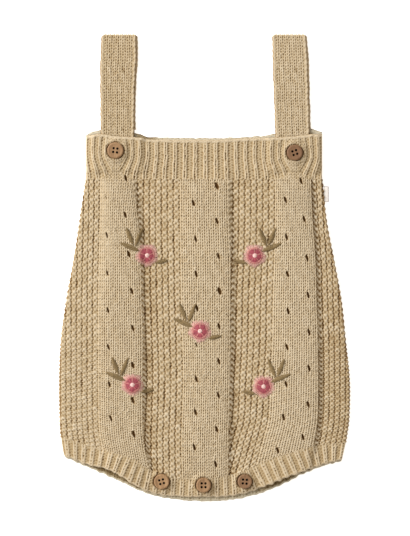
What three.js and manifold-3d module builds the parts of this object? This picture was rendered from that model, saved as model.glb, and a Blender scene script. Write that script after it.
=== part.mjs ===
// A knitted baby bodysuit, laid flat on its back: a bib-shaped body of textured knit with a ribbed
// top band, ribbed leg and crotch bands, and two shoulder straps that fold over at the top.
// Millimetres. +X is the right of the garment as it lies face up, +Y runs from the crotch to the
// neck and +Z is up.
// The origin is on the surface the garment lies on, under the middle of its outline.
import * as THREE from "three";
import { mergeVertices } from "three/addons/utils/BufferGeometryUtils.js";
import Module from "manifold-3d";

// ---- Driving dimensions ----------------------------------------------------------------------
const WALL = 2.2; // thickness of the knitted cloth
const SEAM = 0.3; // gap between pieces that are joined or lie on each other
const EDGE_ROUND = 0.7; // how far a free edge of the cloth rounds out past its faces
const FRONT_LEVEL = WALL + SEAM; // lowest level of the front's inner face, on top of the back

const TOP_SEAM_Y = 75; // where the top bands meet the front and the back
const RIDGE = 3.2; // how far the plain-knit panels bulge up
const SEED_LIFT = 0.8; // how far the seed-stitch panels stand off the back
const SHOULDER = 2.2; // height of the step on the right of each plain panel
const VALLEY = 0.12; // width of that step, as a share of the seed-stitch panel beside it
const SIDE_ROLL = 9; // width over which the front comes down to the side seam

const STRAP_WALL = 2;
const STRAP_SLIT = 0.5; // between the two runs of a folded strap
const STRAP_TOP_Y = 197.6;
const STRAP_END_Y = 86; // the strap's end, behind the front top band
const STRAP_SHIFT = 1; // the run underneath shows this much on the right
const STRAP_CLEAR_X = 5; // how far past a strap the band stays lifted over it
const STRAP_CLEAR_Y = 2;
const BUMP_SLOPE_X = 6; // width over which the band comes down beside a strap
const BUMP_SLOPE_Y = 8;

const BUTTON_THICK = 2.8;
const BUTTON_DISH = 0.72; // radius of the sunk middle, as a share of the button's
const BUTTON_DISH_DEPTH = 0.5;
const HOLE_RADIUS = 0.75;
const HOLE_PITCH = 3.2;

const LABEL_REACH = 4.4;
const LABEL_HEIGHT = 13.5;
const LABEL_Y = 62.5;
const RIBBON = 0.5; // thickness of the label's ribbon

// Widths of the front. Between left and a, b and c, d and e, f and right it is seed stitch; between
// a and b, c and d, e and f it is plain knit.
const SECTIONS = [
  { y: 75, left: -100.2, a: -88.5, b: -60, c: -21, d: 20.5, e: 59.5, f: 90, right: 99.4 },
  { y: 41, left: -105.2, a: -88.7, b: -56, c: -21, d: 21, e: 59.5, f: 91.5, right: 102.8 },
  { y: 7, left: -110.4, a: -89.5, b: -53.7, c: -20.5, d: 22.3, e: 58.7, f: 94, right: 109.2 },
  { y: -27, left: -116.6, a: -90, b: -52.8, c: -20, d: 22.3, e: 57.5, f: 95, right: 115.4 },
  { y: -61, left: -121.1, a: -90, b: -51.7, c: -19, d: 22, e: 57, f: 96, right: 119 },
  { y: -95, left: -122.6, a: -90, b: -52, c: -18.3, d: 21.5, e: 55.3, f: 96.3, right: 122.4 },
  { y: -128, left: -122.2, a: -89.7, b: -52, c: -19.3, d: 21, e: 53.7, f: 95.8, right: 122 },
  { y: -146, left: -121.2, a: -88, b: -51, c: -19.8, d: 20.3, e: 49, f: 93, right: 119.6 },
  { y: -180, left: -118, a: -80, b: -45, c: -19, d: 20, e: 40, f: 86, right: 116 },
];
const KNIT_LINES = ["left", "a", "b", "c", "d", "e", "f", "right"];

// The ribbed leg and crotch bands, from the left side seam to the right one: where each rib starts
// on the body, and where it ends on the band's free edge.
const FRONT_HEM = [
  { seamX: -121.4, seamY: -142.8, edgeX: -118.9, edgeY: -158.6 },
  { seamX: -96.8, seamY: -150.4, edgeX: -98.4, edgeY: -166.5 },
  { seamX: -79.9, seamY: -155.1, edgeX: -83.4, edgeY: -169.7 },
  { seamX: -63, seamY: -160.1, edgeX: -70, edgeY: -176.2 },
  { seamX: -47.7, seamY: -169.4, edgeX: -52, edgeY: -187.2 },
  { seamX: -33.4, seamY: -176.2, edgeX: -35.1, edgeY: -192.2 },
  { seamX: 0.4, seamY: -177.9, edgeX: 0.4, edgeY: -193.6 },
  { seamX: 26.6, seamY: -173.6, edgeX: 28.3, edgeY: -191.8 },
  { seamX: 40.1, seamY: -168.2, edgeX: 48.6, edgeY: -185.5 },
  { seamX: 55.3, seamY: -161, edgeX: 63, edgeY: -179.6 },
  { seamX: 73.9, seamY: -155.5, edgeX: 81.5, edgeY: -172.6 },
  { seamX: 94.2, seamY: -150, edgeX: 97.6, edgeY: -167 },
  { seamX: 119.1, seamY: -147.4, edgeX: 116.2, edgeY: -161.9 },
];
const BACK_HEM = [
  { seamX: -121, seamY: -142.8, edgeX: -118.4, edgeY: -160.2 },
  { seamX: -96.8, seamY: -150.4, edgeX: -98.4, edgeY: -168.9 },
  { seamX: -78, seamY: -157, edgeX: -79.9, edgeY: -177 },
  { seamX: -61, seamY: -164, edgeX: -67.2, edgeY: -182.9 },
  { seamX: -46.5, seamY: -172, edgeX: -50.3, edgeY: -190 },
  { seamX: -32.5, seamY: -177.5, edgeX: -33.4, edgeY: -194.7 },
  { seamX: 0.4, seamY: -180.5, edgeX: 0.4, edgeY: -197.6 },
  { seamX: 25.5, seamY: -178, edgeX: 25.8, edgeY: -195.8 },
  { seamX: 42, seamY: -172, edgeX: 48.6, edgeY: -190.3 },
  { seamX: 58, seamY: -164.5, edgeX: 65.5, edgeY: -183.5 },
  { seamX: 74.5, seamY: -156.5, edgeX: 80.7, edgeY: -175.6 },
  { seamX: 94.2, seamY: -150, edgeX: 97.6, edgeY: -168.7 },
  { seamX: 118.7, seamY: -147.4, edgeX: 115.9, edgeY: -163.5 },
];

// The free edges of the top bands, pulled up a little where the straps hold them.
const FRONT_TOP = [
  { x: -100, y: 111.6 },
  { x: -89, y: 113.3 },
  { x: -74, y: 111.4 },
  { x: -57, y: 110.5 },
  { x: -48, y: 109 },
  { x: 0, y: 108.2 },
  { x: 48, y: 110 },
  { x: 74, y: 111.3 },
  { x: 90, y: 113 },
  { x: 99.4, y: 113.2 },
];
const BACK_TOP = [
  { x: -100, y: 112.6 },
  { x: -89, y: 116.9 },
  { x: -74, y: 116.5 },
  { x: -59, y: 114.5 },
  { x: -48, y: 111.2 },
  { x: 0, y: 110 },
  { x: 48, y: 111.6 },
  { x: 60, y: 114 },
  { x: 75, y: 117.4 },
  { x: 89, y: 117.6 },
  { x: 99.4, y: 115 },
];

// The straps' sides, from behind the front band up to the fold.
const STRAPS = {
  left: [
    { y: STRAP_END_Y, from: -87.6, to: -59.6 },
    { y: 115, from: -88, to: -59.4 },
    { y: 150, from: -88.2, to: -58.8 },
    { y: 176, from: -88.2, to: -57.6 },
    { y: STRAP_TOP_Y, from: -87.2, to: -57.8 },
  ],
  right: [
    { y: STRAP_END_Y, from: 60.4, to: 88.6 },
    { y: 115, from: 59.8, to: 89 },
    { y: 150, from: 58.4, to: 88 },
    { y: 176, from: 57.6, to: 87.2 },
    { y: STRAP_TOP_Y, from: 57.2, to: 85.8 },
  ],
};

// Button centres and radii, each turned a little differently, as they were sewn.
const BUTTONS = [
  { name: "button_strap_left", x: -75.2, y: 99.2, radius: 6.85, turn: -0.12 },
  { name: "button_strap_right", x: 76.1, y: 97.3, radius: 6.65, turn: 0.32 },
  { name: "button_crotch_left", x: -36.2, y: -180.3, radius: 6.4, turn: 0.26 },
  { name: "button_crotch_center", x: -0.8, y: -183.2, radius: 6.25, turn: 0 },
  { name: "button_crotch_right", x: 34, y: -180.2, radius: 6.05, turn: -0.07 },
];

// ---- Materials -------------------------------------------------------------------------------
const cotton = new THREE.MeshStandardMaterial({ color: 0xcdb28a, roughness: 0.95, metalness: 0 });
const wood = new THREE.MeshStandardMaterial({ color: 0xa07850, roughness: 0.6, metalness: 0 });
const ribbon = new THREE.MeshStandardMaterial({ color: 0xece4da, roughness: 0.8, metalness: 0 });

// ---- Curves through the tables ----------------------------------------------------------------
// The value of column key where column along reaches the given place, on a smooth curve.
function valueAt(table, along, place, key) {
  const rising = table[1][along] > table[0][along];
  const rows = rising ? table : [...table].reverse();
  let k = 0;
  while (k < rows.length - 2 && rows[k + 1][along] < place) k++;
  const slope = (i) => {
    const before = rows[Math.max(i - 1, 0)];
    const after = rows[Math.min(i + 1, rows.length - 1)];
    return (after[key] - before[key]) / (after[along] - before[along]);
  };
  const span = rows[k + 1][along] - rows[k][along];
  const t = THREE.MathUtils.clamp((place - rows[k][along]) / span, 0, 1);
  const a = rows[k][key];
  const b = rows[k + 1][key];
  const ease = t * t * (3 - 2 * t);
  return (
    a + (b - a) * ease + span * t * (1 - t) * ((1 - t) * slope(k) - t * slope(k + 1))
  );
}

// 0 at from, 1 at to, with a soft start and end; to may be the lower of the two.
function smooth(from, to, x) {
  const t = THREE.MathUtils.clamp((x - from) / (to - from), 0, 1);
  return t * t * (3 - 2 * t);
}

// ---- A wall of cloth ---------------------------------------------------------------------------
// One closed solid between two faces. outer(u, v) and inner(u, v) give the faces' points for u and v
// from 0 to 1, with u to the right and v up the garment. The sides named in free round out.
function clothWall(name, material, columns, rows, outer, inner, free) {
  const positions = [];
  const index = [];
  const perFace = (columns + 1) * (rows + 1);
  const grid = (i, j) => j * (columns + 1) + i;
  for (const face of [outer, inner]) {
    for (let j = 0; j <= rows; j++) {
      for (let i = 0; i <= columns; i++) positions.push(...face(i / columns, j / rows));
    }
  }
  for (let j = 0; j < rows; j++) {
    for (let i = 0; i < columns; i++) {
      const [p, q, r, s] = [grid(i, j), grid(i + 1, j), grid(i + 1, j + 1), grid(i, j + 1)];
      index.push(p, q, r, p, r, s);
      index.push(perFace + p, perFace + r, perFace + q, perFace + p, perFace + s, perFace + r);
    }
  }

  const loop = [];
  for (let i = 0; i < columns; i++) loop.push({ at: grid(i, 0), side: "near" });
  for (let j = 0; j < rows; j++) loop.push({ at: grid(columns, j), side: "right" });
  for (let i = columns; i > 0; i--) loop.push({ at: grid(i, rows), side: "far" });
  for (let j = rows; j > 0; j--) loop.push({ at: grid(0, j), side: "left" });
  const point = (k) => new THREE.Vector3().fromArray(positions, 3 * k);
  const count = loop.length;
  const firstMiddle = 2 * perFace;
  for (let k = 0; k < count; k++) {
    const before = loop[(k + count - 1) % count];
    const after = loop[(k + 1) % count];
    const top = point(loop[k].at);
    const bottom = point(perFace + loop[k].at);
    const along = point(after.at).sub(point(before.at)).normalize();
    const out = along.cross(top.clone().sub(bottom)).normalize();
    const isFree = free.includes(loop[k].side) && free.includes(before.side);
    const middle = top.clone().add(bottom).multiplyScalar(0.5);
    middle.addScaledVector(out, isFree ? EDGE_ROUND : 0);
    positions.push(middle.x, middle.y, middle.z);
  }
  for (let k = 0; k < count; k++) {
    const next = (k + 1) % count;
    const [a, b] = [loop[k].at, loop[next].at];
    const [m, n] = [firstMiddle + k, firstMiddle + next];
    index.push(a, m, n, a, n, b);
    index.push(m, perFace + a, perFace + b, m, perFace + b, n);
  }

  const geometry = new THREE.BufferGeometry();
  geometry.setAttribute("position", new THREE.Float32BufferAttribute(positions, 3));
  geometry.setIndex(index);
  geometry.computeVertexNormals();
  const mesh = new THREE.Mesh(geometry, material);
  mesh.name = name;
  return mesh;
}

// ---- The body ----------------------------------------------------------------------------------
// x on knit line number line, from 0 at the left side to 7 at the right one, at height y.
function lineX(line, y) {
  const k = Math.min(Math.floor(line), KNIT_LINES.length - 2);
  const from = valueAt(SECTIONS, "y", y, KNIT_LINES[k]);
  const to = valueAt(SECTIONS, "y", y, KNIT_LINES[k + 1]);
  return THREE.MathUtils.lerp(from, to, line - k);
}

// Where that line reaches the seam of a hem band.
function hemSeamY(line, hem) {
  let y = -160;
  for (let step = 0; step < 12; step++) y = valueAt(hem, "seamX", lineX(line, y), "seamY");
  return y;
}

// How far the front stands off the back along a knit line: plain panels bulge and drop off a step
// on their right, and each seed panel climbs again from the valley beside it.
function knitLift(line) {
  const { clamp, lerp } = THREE.MathUtils;
  const k = Math.min(Math.floor(line), KNIT_LINES.length - 2);
  const t = line - k;
  if (k % 2 === 1) {
    const rising = k === 1 ? 3.4 : 2.2;
    const bulge = Math.max(1 - Math.abs(2 * t - 1) ** (t < 0.5 ? rising : 4), 0) ** 0.85;
    const height = RIDGE - SEED_LIFT - 0.5 * Math.max(2 * t - 1, 0);
    return lerp(SEED_LIFT, SHOULDER, t ** 3) + height * bulge;
  }
  if (k === 0) return SEED_LIFT;
  return SEED_LIFT * t ** 0.6 + SHOULDER * clamp(1 - t / VALLEY, 0, 1) ** 1.6;
}

// The whole lift of the front's inner face above the back, at any place on it.
function frontLift(line, x, y) {
  const top = smooth(TOP_SEAM_Y + 14, TOP_SEAM_Y - 14, y);
  const hem = smooth(-186, -150, y);
  const side = Math.min(x - lineX(0, y), lineX(7, y) - x);
  const roll = Math.sqrt(THREE.MathUtils.clamp(side / SIDE_ROLL, 0, 1));
  return THREE.MathUtils.lerp(SEED_LIFT, knitLift(line), top * (0.25 + 0.75 * hem)) * roll;
}

// The knit line that passes through x at height y.
function lineAt(x, y) {
  for (let k = 0; k < KNIT_LINES.length - 1; k++) {
    const from = lineX(k, y);
    const to = lineX(k + 1, y);
    if (x <= to || k === KNIT_LINES.length - 2) {
      return k + THREE.MathUtils.clamp((x - from) / (to - from), 0, 1);
    }
  }
}

// The knit lines that a panel's columns follow, given how many columns each panel takes.
function columnLines(perPanel) {
  const lines = [0];
  perPanel.forEach((count, panel) => {
    for (let i = 1; i <= count; i++) lines.push(panel + i / count);
  });
  return lines;
}
// Enough for each plain panel's round shape, and one more line along the foot of each step.
const FRONT_LINES = columnLines([3, 7, 4, 7, 4, 7, 3])
  .concat([2 + VALLEY, 4 + VALLEY, 6 + VALLEY])
  .sort((a, b) => a - b);
const BACK_LINES = columnLines([4, 4, 4, 4, 4, 4, 4]);

// x on a knit line, kept inside the rounded side edges.
function insetX(line, y) {
  return THREE.MathUtils.clamp(lineX(line, y), lineX(0, y) + EDGE_ROUND, lineX(7, y) - EDGE_ROUND);
}

function bodyPanel(name, lines, rows, hem, level, lift) {
  const columns = lines.length - 1;
  const place = (u, v, raise) => {
    const line = lines[Math.round(u * columns)];
    const y = THREE.MathUtils.lerp(hemSeamY(line, hem) + SEAM, TOP_SEAM_Y - SEAM / 2, v);
    const x = insetX(line, y);
    return [x, y, level + lift(line, x, y) + raise];
  };
  const outer = (u, v) => place(u, v, WALL);
  const inner = (u, v) => place(u, v, 0);
  return clothWall(name, cotton, columns, rows, outer, inner, ["left", "right"]);
}

// ---- The top bands -----------------------------------------------------------------------------
// 1 over the strap ends behind the front band, falling to 0 around them.
function strapBump(x, y) {
  const bumps = Object.values(STRAPS).map((rows) => {
    const from = valueAt(rows, "y", y, "from") - STRAP_CLEAR_X;
    const to = valueAt(rows, "y", y, "to") + STRAP_SHIFT + STRAP_CLEAR_X;
    const end = STRAP_END_Y - STRAP_CLEAR_Y;
    const across = Math.min(smooth(from - BUMP_SLOPE_X, from, x), smooth(to + BUMP_SLOPE_X, to, x));
    return across * smooth(end - BUMP_SLOPE_Y, end, y);
  });
  return Math.max(...bumps);
}

function topBand(name, edge, columns, rows, level, lift) {
  const left = SECTIONS[0].left;
  const right = SECTIONS[0].right;
  const place = (u, v, raise) => {
    const x = THREE.MathUtils.lerp(left + EDGE_ROUND, right - EDGE_ROUND, u);
    const top = valueAt(edge, "x", x, "y") - EDGE_ROUND;
    const y = THREE.MathUtils.lerp(TOP_SEAM_Y + SEAM / 2, top, v);
    return [x, y, level + lift(x, y) + raise];
  };
  const outer = (u, v) => place(u, v, WALL);
  const inner = (u, v) => place(u, v, 0);
  return clothWall(name, cotton, columns, rows, outer, inner, ["left", "right", "far"]);
}

function frontTopLift(x, y) {
  const overStrap = (STRAP_WALL + SEAM) * strapBump(x, y);
  return Math.max(frontLift(lineAt(x, TOP_SEAM_Y), x, Math.min(y, 120)), overStrap);
}

// ---- The leg and crotch bands ------------------------------------------------------------------
// Its columns carry on from the panel's, so the two meet along the same seam.
function hemBand(name, lines, rows, hem, level, lift) {
  const columns = lines.length - 1;
  const place = (u, v, raise) => {
    const line = lines[Math.round(u * columns)];
    const seamY = hemSeamY(line, hem);
    const seam = new THREE.Vector2(insetX(line, seamY), seamY);
    const edgeX = valueAt(hem, "seamX", seam.x, "edgeX");
    const edge = new THREE.Vector2(edgeX, valueAt(hem, "seamX", seam.x, "edgeY"));
    const share = THREE.MathUtils.lerp(EDGE_ROUND / seam.distanceTo(edge), 1, v);
    const at = edge.lerp(seam, share);
    return [at.x, at.y, level + lift(at.x, at.y, v) + raise];
  };
  const outer = (u, v) => place(u, v, WALL);
  const inner = (u, v) => place(u, v, 0);
  return clothWall(name, cotton, columns, rows, outer, inner, ["left", "right", "near"]);
}

// Beside the crotch the front's free edge stands off the back, where the legs come out.
function frontHemLift(x, y, v) {
  const atLeg = smooth(44, 62, Math.abs(x)) * smooth(106, 88, Math.abs(x));
  return frontLift(lineAt(x, y), x, y) + 1.1 * atLeg * (1 - v);
}

// ---- The straps --------------------------------------------------------------------------------
// A strip that runs up from behind the front band, folds over at the top and runs down again on the
// surface to the back band's edge.
function strap(name, rows, back) {
  const middleRadius = (STRAP_WALL + STRAP_SLIT) / 2;
  const foldY = STRAP_TOP_Y - middleRadius - STRAP_WALL / 2;
  const middleX = (valueAt(rows, "y", 115, "from") + valueAt(rows, "y", 115, "to")) / 2;
  const backEndY = valueAt(back, "x", middleX, "y") + SEAM + 0.6;
  const levels = { up: FRONT_LEVEL + STRAP_WALL / 2, down: STRAP_WALL / 2 };
  const steps = [];
  const upSteps = 9;
  const foldSteps = 6;
  const downSteps = 7;
  for (let i = 0; i <= upSteps; i++) {
    const y = THREE.MathUtils.lerp(STRAP_END_Y, foldY, i / upSteps);
    steps.push({ y, z: levels.up, ny: 0, nz: 1, shift: 0 });
  }
  for (let i = 1; i < foldSteps; i++) {
    const turn = (Math.PI * i) / foldSteps;
    const y = foldY + middleRadius * Math.sin(turn);
    const z = levels.down + middleRadius * (1 + Math.cos(turn));
    const shift = STRAP_SHIFT * (i / foldSteps);
    steps.push({ y, z, ny: Math.sin(turn), nz: Math.cos(turn), shift });
  }
  for (let i = 0; i <= downSteps; i++) {
    const y = THREE.MathUtils.lerp(foldY, backEndY, i / downSteps);
    steps.push({ y, z: levels.down, ny: 0, nz: -1, shift: STRAP_SHIFT });
  }
  const place = (u, v, side) => {
    const step = steps[Math.round(v * (steps.length - 1))];
    const from = valueAt(rows, "y", step.y, "from") + EDGE_ROUND;
    const to = valueAt(rows, "y", step.y, "to") - EDGE_ROUND;
    const off = (side * STRAP_WALL) / 2;
    const x = THREE.MathUtils.lerp(from, to, u) + step.shift;
    return [x, step.y + off * step.ny, step.z + off * step.nz];
  };
  const outer = (u, v) => place(u, v, 1);
  const inner = (u, v) => place(u, v, -1);
  return clothWall(name, cotton, 4, steps.length - 1, outer, inner, ["left", "right"]);
}

// ---- The buttons -------------------------------------------------------------------------------
const wasm = await Module();
wasm.setup();

function toManifold(geometry) {
  const bare = geometry.clone();
  bare.deleteAttribute("normal");
  bare.deleteAttribute("uv");
  const merged = mergeVertices(bare, 1e-4);
  const vertProperties = new Float32Array(merged.attributes.position.array);
  const triVerts = new Uint32Array(merged.index.array);
  return new wasm.Manifold(new wasm.Mesh({ numProp: 3, vertProperties, triVerts }));
}

function fromManifold(solid) {
  const { vertProperties, triVerts } = solid.getMesh();
  const geometry = new THREE.BufferGeometry();
  geometry.setAttribute("position", new THREE.Float32BufferAttribute(vertProperties, 3));
  geometry.setIndex(new THREE.Uint32BufferAttribute(triVerts, 1));
  geometry.computeVertexNormals();
  return geometry;
}

// A turned disc with a raised rim and four thread holes, its flat back at z = 0.
function buttonGeometry(radius) {
  const dish = BUTTON_DISH * radius;
  const profile = [
    [0, 0],
    [radius - 0.7, 0],
    [radius, 0.8],
    [radius, BUTTON_THICK - 0.8],
    [radius - 0.7, BUTTON_THICK],
    [dish + 0.6, BUTTON_THICK],
    [dish, BUTTON_THICK - BUTTON_DISH_DEPTH],
    [0, BUTTON_THICK - BUTTON_DISH_DEPTH],
  ];
  const disc = new THREE.LatheGeometry(profile.map(([r, z]) => new THREE.Vector2(r, z)), 28);
  disc.rotateX(Math.PI / 2);
  let solid = toManifold(disc);
  for (const dx of [-1, 1]) {
    for (const dy of [-1, 1]) {
      const drill = new THREE.CylinderGeometry(HOLE_RADIUS, HOLE_RADIUS, 3 * BUTTON_THICK, 8);
      drill.rotateX(Math.PI / 2);
      drill.translate((dx * HOLE_PITCH) / 2, (dy * HOLE_PITCH) / 2, 0);
      solid = solid.subtract(toManifold(drill));
    }
  }
  return fromManifold(solid);
}

// The highest that the band's lift gets under a button.
function highestLift(x, y, radius) {
  let highest = 0;
  for (let step = 0; step < 24; step++) {
    const turn = (2 * Math.PI * step) / 24;
    const [px, py] = [x + radius * Math.cos(turn), y + radius * Math.sin(turn)];
    const lift = y > 0 ? frontTopLift(px, py) : frontHemLift(px, py, 1);
    highest = Math.max(highest, lift);
  }
  return highest;
}

// ---- The side label ----------------------------------------------------------------------------
// A short bare ribbon, folded double, that comes out of the right side seam.
function sideLabel() {
  const half = RIBBON + SEAM / 2; // half the folded ribbon's thickness
  const start = lineX(7, LABEL_Y) + SEAM;
  const slitEnd = LABEL_REACH - half - 0.4;
  const outline = new THREE.Shape();
  outline.moveTo(0, -half);
  outline.lineTo(LABEL_REACH - half, -half);
  outline.absarc(LABEL_REACH - half, 0, half, -Math.PI / 2, Math.PI / 2, false);
  outline.lineTo(0, half);
  outline.lineTo(0, SEAM / 2);
  outline.lineTo(slitEnd, SEAM / 2);
  outline.lineTo(slitEnd, -SEAM / 2);
  outline.lineTo(0, -SEAM / 2);
  outline.closePath();
  const options = { depth: LABEL_HEIGHT, bevelEnabled: false, curveSegments: 6 };
  const geometry = new THREE.ExtrudeGeometry(outline, options);
  geometry.rotateX(Math.PI / 2);
  const mesh = new THREE.Mesh(geometry, ribbon);
  mesh.name = "side_label";
  mesh.position.set(start, LABEL_Y + LABEL_HEIGHT / 2, FRONT_LEVEL);
  return mesh;
}

// ---- The garment -------------------------------------------------------------------------------
const garment = new THREE.Group();
const flat = () => 0;
garment.add(bodyPanel("back_panel", BACK_LINES, 9, BACK_HEM, 0, flat));
garment.add(topBand("back_top_band", BACK_TOP, 26, 2, 0, flat));
garment.add(hemBand("back_hem_band", BACK_LINES, 2, BACK_HEM, 0, flat));
garment.add(bodyPanel("front_panel", FRONT_LINES, 19, FRONT_HEM, FRONT_LEVEL, frontLift));
garment.add(topBand("front_top_band", FRONT_TOP, 48, 6, FRONT_LEVEL, frontTopLift));
garment.add(hemBand("front_hem_band", FRONT_LINES, 3, FRONT_HEM, FRONT_LEVEL, frontHemLift));
garment.add(strap("strap_left", STRAPS.left, BACK_TOP));
garment.add(strap("strap_right", STRAPS.right, BACK_TOP));

for (const { name, x, y, radius, turn } of BUTTONS) {
  const button = new THREE.Mesh(buttonGeometry(radius), wood);
  button.name = name;
  button.position.set(x, y, FRONT_LEVEL + highestLift(x, y, radius) + WALL + SEAM);
  button.rotation.z = turn;
  garment.add(button);
}
garment.add(sideLabel());

export default garment;
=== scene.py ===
"""A knitted baby bodysuit, laid flat: sand-coloured cotton knit with a ribbed top band, ribbed leg
and crotch bands, folded straps, wooden buttons, embroidered flowers and a bare side label.
Sizes in the sections are in millimetres; each mesh is scaled to metres as it is made."""

import bpy
import math
import numpy as np
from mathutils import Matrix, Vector


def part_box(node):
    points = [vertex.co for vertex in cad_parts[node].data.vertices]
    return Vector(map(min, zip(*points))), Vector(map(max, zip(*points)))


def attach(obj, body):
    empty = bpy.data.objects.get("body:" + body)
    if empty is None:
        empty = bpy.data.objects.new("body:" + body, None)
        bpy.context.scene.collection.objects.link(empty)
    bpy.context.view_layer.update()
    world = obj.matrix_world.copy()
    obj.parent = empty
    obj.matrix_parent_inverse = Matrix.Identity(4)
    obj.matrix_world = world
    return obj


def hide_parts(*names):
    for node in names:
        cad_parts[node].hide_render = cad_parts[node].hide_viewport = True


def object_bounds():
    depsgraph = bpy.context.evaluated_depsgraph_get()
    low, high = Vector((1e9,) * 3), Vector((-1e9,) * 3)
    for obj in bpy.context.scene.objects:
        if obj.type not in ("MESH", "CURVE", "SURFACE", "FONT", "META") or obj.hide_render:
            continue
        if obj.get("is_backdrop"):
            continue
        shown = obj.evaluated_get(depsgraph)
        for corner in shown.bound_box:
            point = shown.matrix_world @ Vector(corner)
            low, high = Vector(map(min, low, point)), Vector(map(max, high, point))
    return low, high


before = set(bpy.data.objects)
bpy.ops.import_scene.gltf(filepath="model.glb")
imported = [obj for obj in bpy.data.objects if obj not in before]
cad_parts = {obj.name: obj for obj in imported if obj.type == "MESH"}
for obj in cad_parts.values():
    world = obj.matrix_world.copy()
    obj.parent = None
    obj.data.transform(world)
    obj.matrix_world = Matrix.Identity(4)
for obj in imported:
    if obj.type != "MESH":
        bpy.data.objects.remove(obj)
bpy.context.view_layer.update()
MM = 0.001

# ---- The studio ---------------------------------------------------------------------------------
# A white sweep that glows like a light table, one large soft light high on the left, a weak one
# opposite and pale walls all round. The camera hangs straight above the garment on a long lens.
scene = bpy.context.scene
scene.view_settings.view_transform = "Standard"


def linear(hex_colour):
    """An sRGB hex colour as linear RGBA."""
    parts = [int(hex_colour[i : i + 2], 16) / 255 for i in (1, 3, 5)]
    return (*[p / 12.92 if p <= 0.04045 else ((p + 0.055) / 1.055) ** 2.4 for p in parts], 1.0)


def add(tree, kind, settings, links):
    """Adds a node, sets its properties, and sets or links its inputs by name or number."""
    made = tree.nodes.new(kind)
    for key, value in settings.items():
        setattr(made, key, value)
    for key, value in links.items():
        if isinstance(value, bpy.types.NodeSocket):
            tree.links.new(value, made.inputs[key])
        else:
            made.inputs[key].default_value = value
    return made


def finish_of(name, build):
    """A material whose tree is filled by build(tree), which returns the surface shader's node."""
    material = bpy.data.materials.new(name)
    material.use_nodes = True
    tree = material.node_tree
    tree.nodes.clear()
    shader = build(tree)
    add(tree, "ShaderNodeOutputMaterial", {}, {"Surface": shader.outputs[0]})
    return material


def set_out(name, data):
    """A new object in the scene, with the data as its own."""
    made = bpy.data.objects.new(name, data)
    scene.collection.objects.link(made)
    return made


LENS_HEIGHT = 2.004
camera = bpy.data.cameras.new("camera")
camera.lens = 158.9
camera.sensor_width = 36
camera.clip_start = 0.1
camera.clip_end = 20
scene.camera = set_out("camera", camera)
scene.camera.location = (0.0004, 0.0, LENS_HEIGHT)

for name, place, watts in (("window", (-2.9, 1.45, 2.1), 215), ("fill", (2.2, -1.1, 2.6), 14)):
    lamp = bpy.data.lights.new(name, "AREA")
    lamp.shape = "SQUARE"
    lamp.size = 2.0
    lamp.energy = watts
    stand = set_out(name, lamp)
    stand.location = place
    stand.rotation_euler = (-Vector(place)).to_track_quat("-Z", "Y").to_euler()

world = bpy.data.worlds.new("pale walls")
world.use_nodes = True
world.node_tree.nodes.clear()
walls = add(world.node_tree, "ShaderNodeBackground", {}, {"Color": linear("#fff6ea"), "Strength": 0.5})
add(world.node_tree, "ShaderNodeOutputWorld", {}, {"Surface": walls.outputs[0]})
scene.world = world

bpy.ops.mesh.primitive_plane_add(size=8, location=(0, 0, -0.0003))
sweep = bpy.context.object
sweep.name = "sweep"
# Matt white plastic, lit from below: it glows a little, so that shadows on it stay pale.
glowing_white = finish_of(
    "white_light_table",
    lambda tree: add(
        tree, "ShaderNodeBsdfPrincipled", {}, {
            "Base Color": linear("#fbfbfb"), "Roughness": 0.9,
            "Emission Color": linear("#ffffff"), "Emission Strength": 0.6,
        }
    ),
)
sweep.data.materials.append(glowing_white)
sweep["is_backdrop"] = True

# ---- The back of the body -----------------------------------------------------------------------
# Plain cotton knit, about 3.9 mm a stitch and 2.5 mm a row, lying flat under the front. It is
# knitted in one piece and sewn to the front along both sides.
WALL = 2.2  # thickness of the knit
HALF_WALL = 0.5 * WALL
SEAM = 0.3  # gap between two layers of cloth
FRONT_LEVEL = WALL + SEAM
TOP_SEAM_Y = 75.0
WALE, ROW = 3.9, 2.5
LAST_LINE = 7
KNIT_LINES = {  # at each height, x of eight upright lines: the two sides, and the panels' edges
    75: (-100.2, -88.5, -60, -21, 20.5, 59.5, 90, 99.4),
    41: (-105.2, -88.7, -56, -21, 21, 59.5, 91.5, 102.8),
    7: (-110.4, -89.5, -53.7, -20.5, 22.3, 58.7, 94, 109.2),
    -27: (-116.6, -90, -52.8, -20, 22.3, 57.5, 95, 115.4),
    -61: (-121.1, -90, -51.7, -19, 22, 57, 96, 119),
    -95: (-122.6, -90, -52, -18.3, 21.5, 55.3, 96.3, 122.4),
    -128: (-122.2, -89.7, -52, -19.3, 21, 53.7, 95.8, 122),
    -146: (-121.2, -88, -51, -19.8, 20.3, 49, 93, 119.6),
    -180: (-118, -80, -45, -19, 20, 40, 86, 116),
}
BACK_HEM = [  # where each rib starts on the body, x and y, and where it ends on the free edge
    (-121, -142.8, -118.4, -160.2),
    (-96.8, -150.4, -98.4, -168.9),
    (-78, -157, -79.9, -177),
    (-61, -164, -67.2, -182.9),
    (-46.5, -172, -50.3, -190),
    (-32.5, -177.5, -33.4, -194.7),
    (0.4, -180.5, 0.4, -197.6),
    (25.5, -178, 25.8, -195.8),
    (42, -172, 48.6, -190.3),
    (58, -164.5, 65.5, -183.5),
    (74.5, -156.5, 80.7, -175.6),
    (94.2, -150, 97.6, -168.7),
    (118.7, -147.4, 115.9, -163.5),
]


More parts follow.
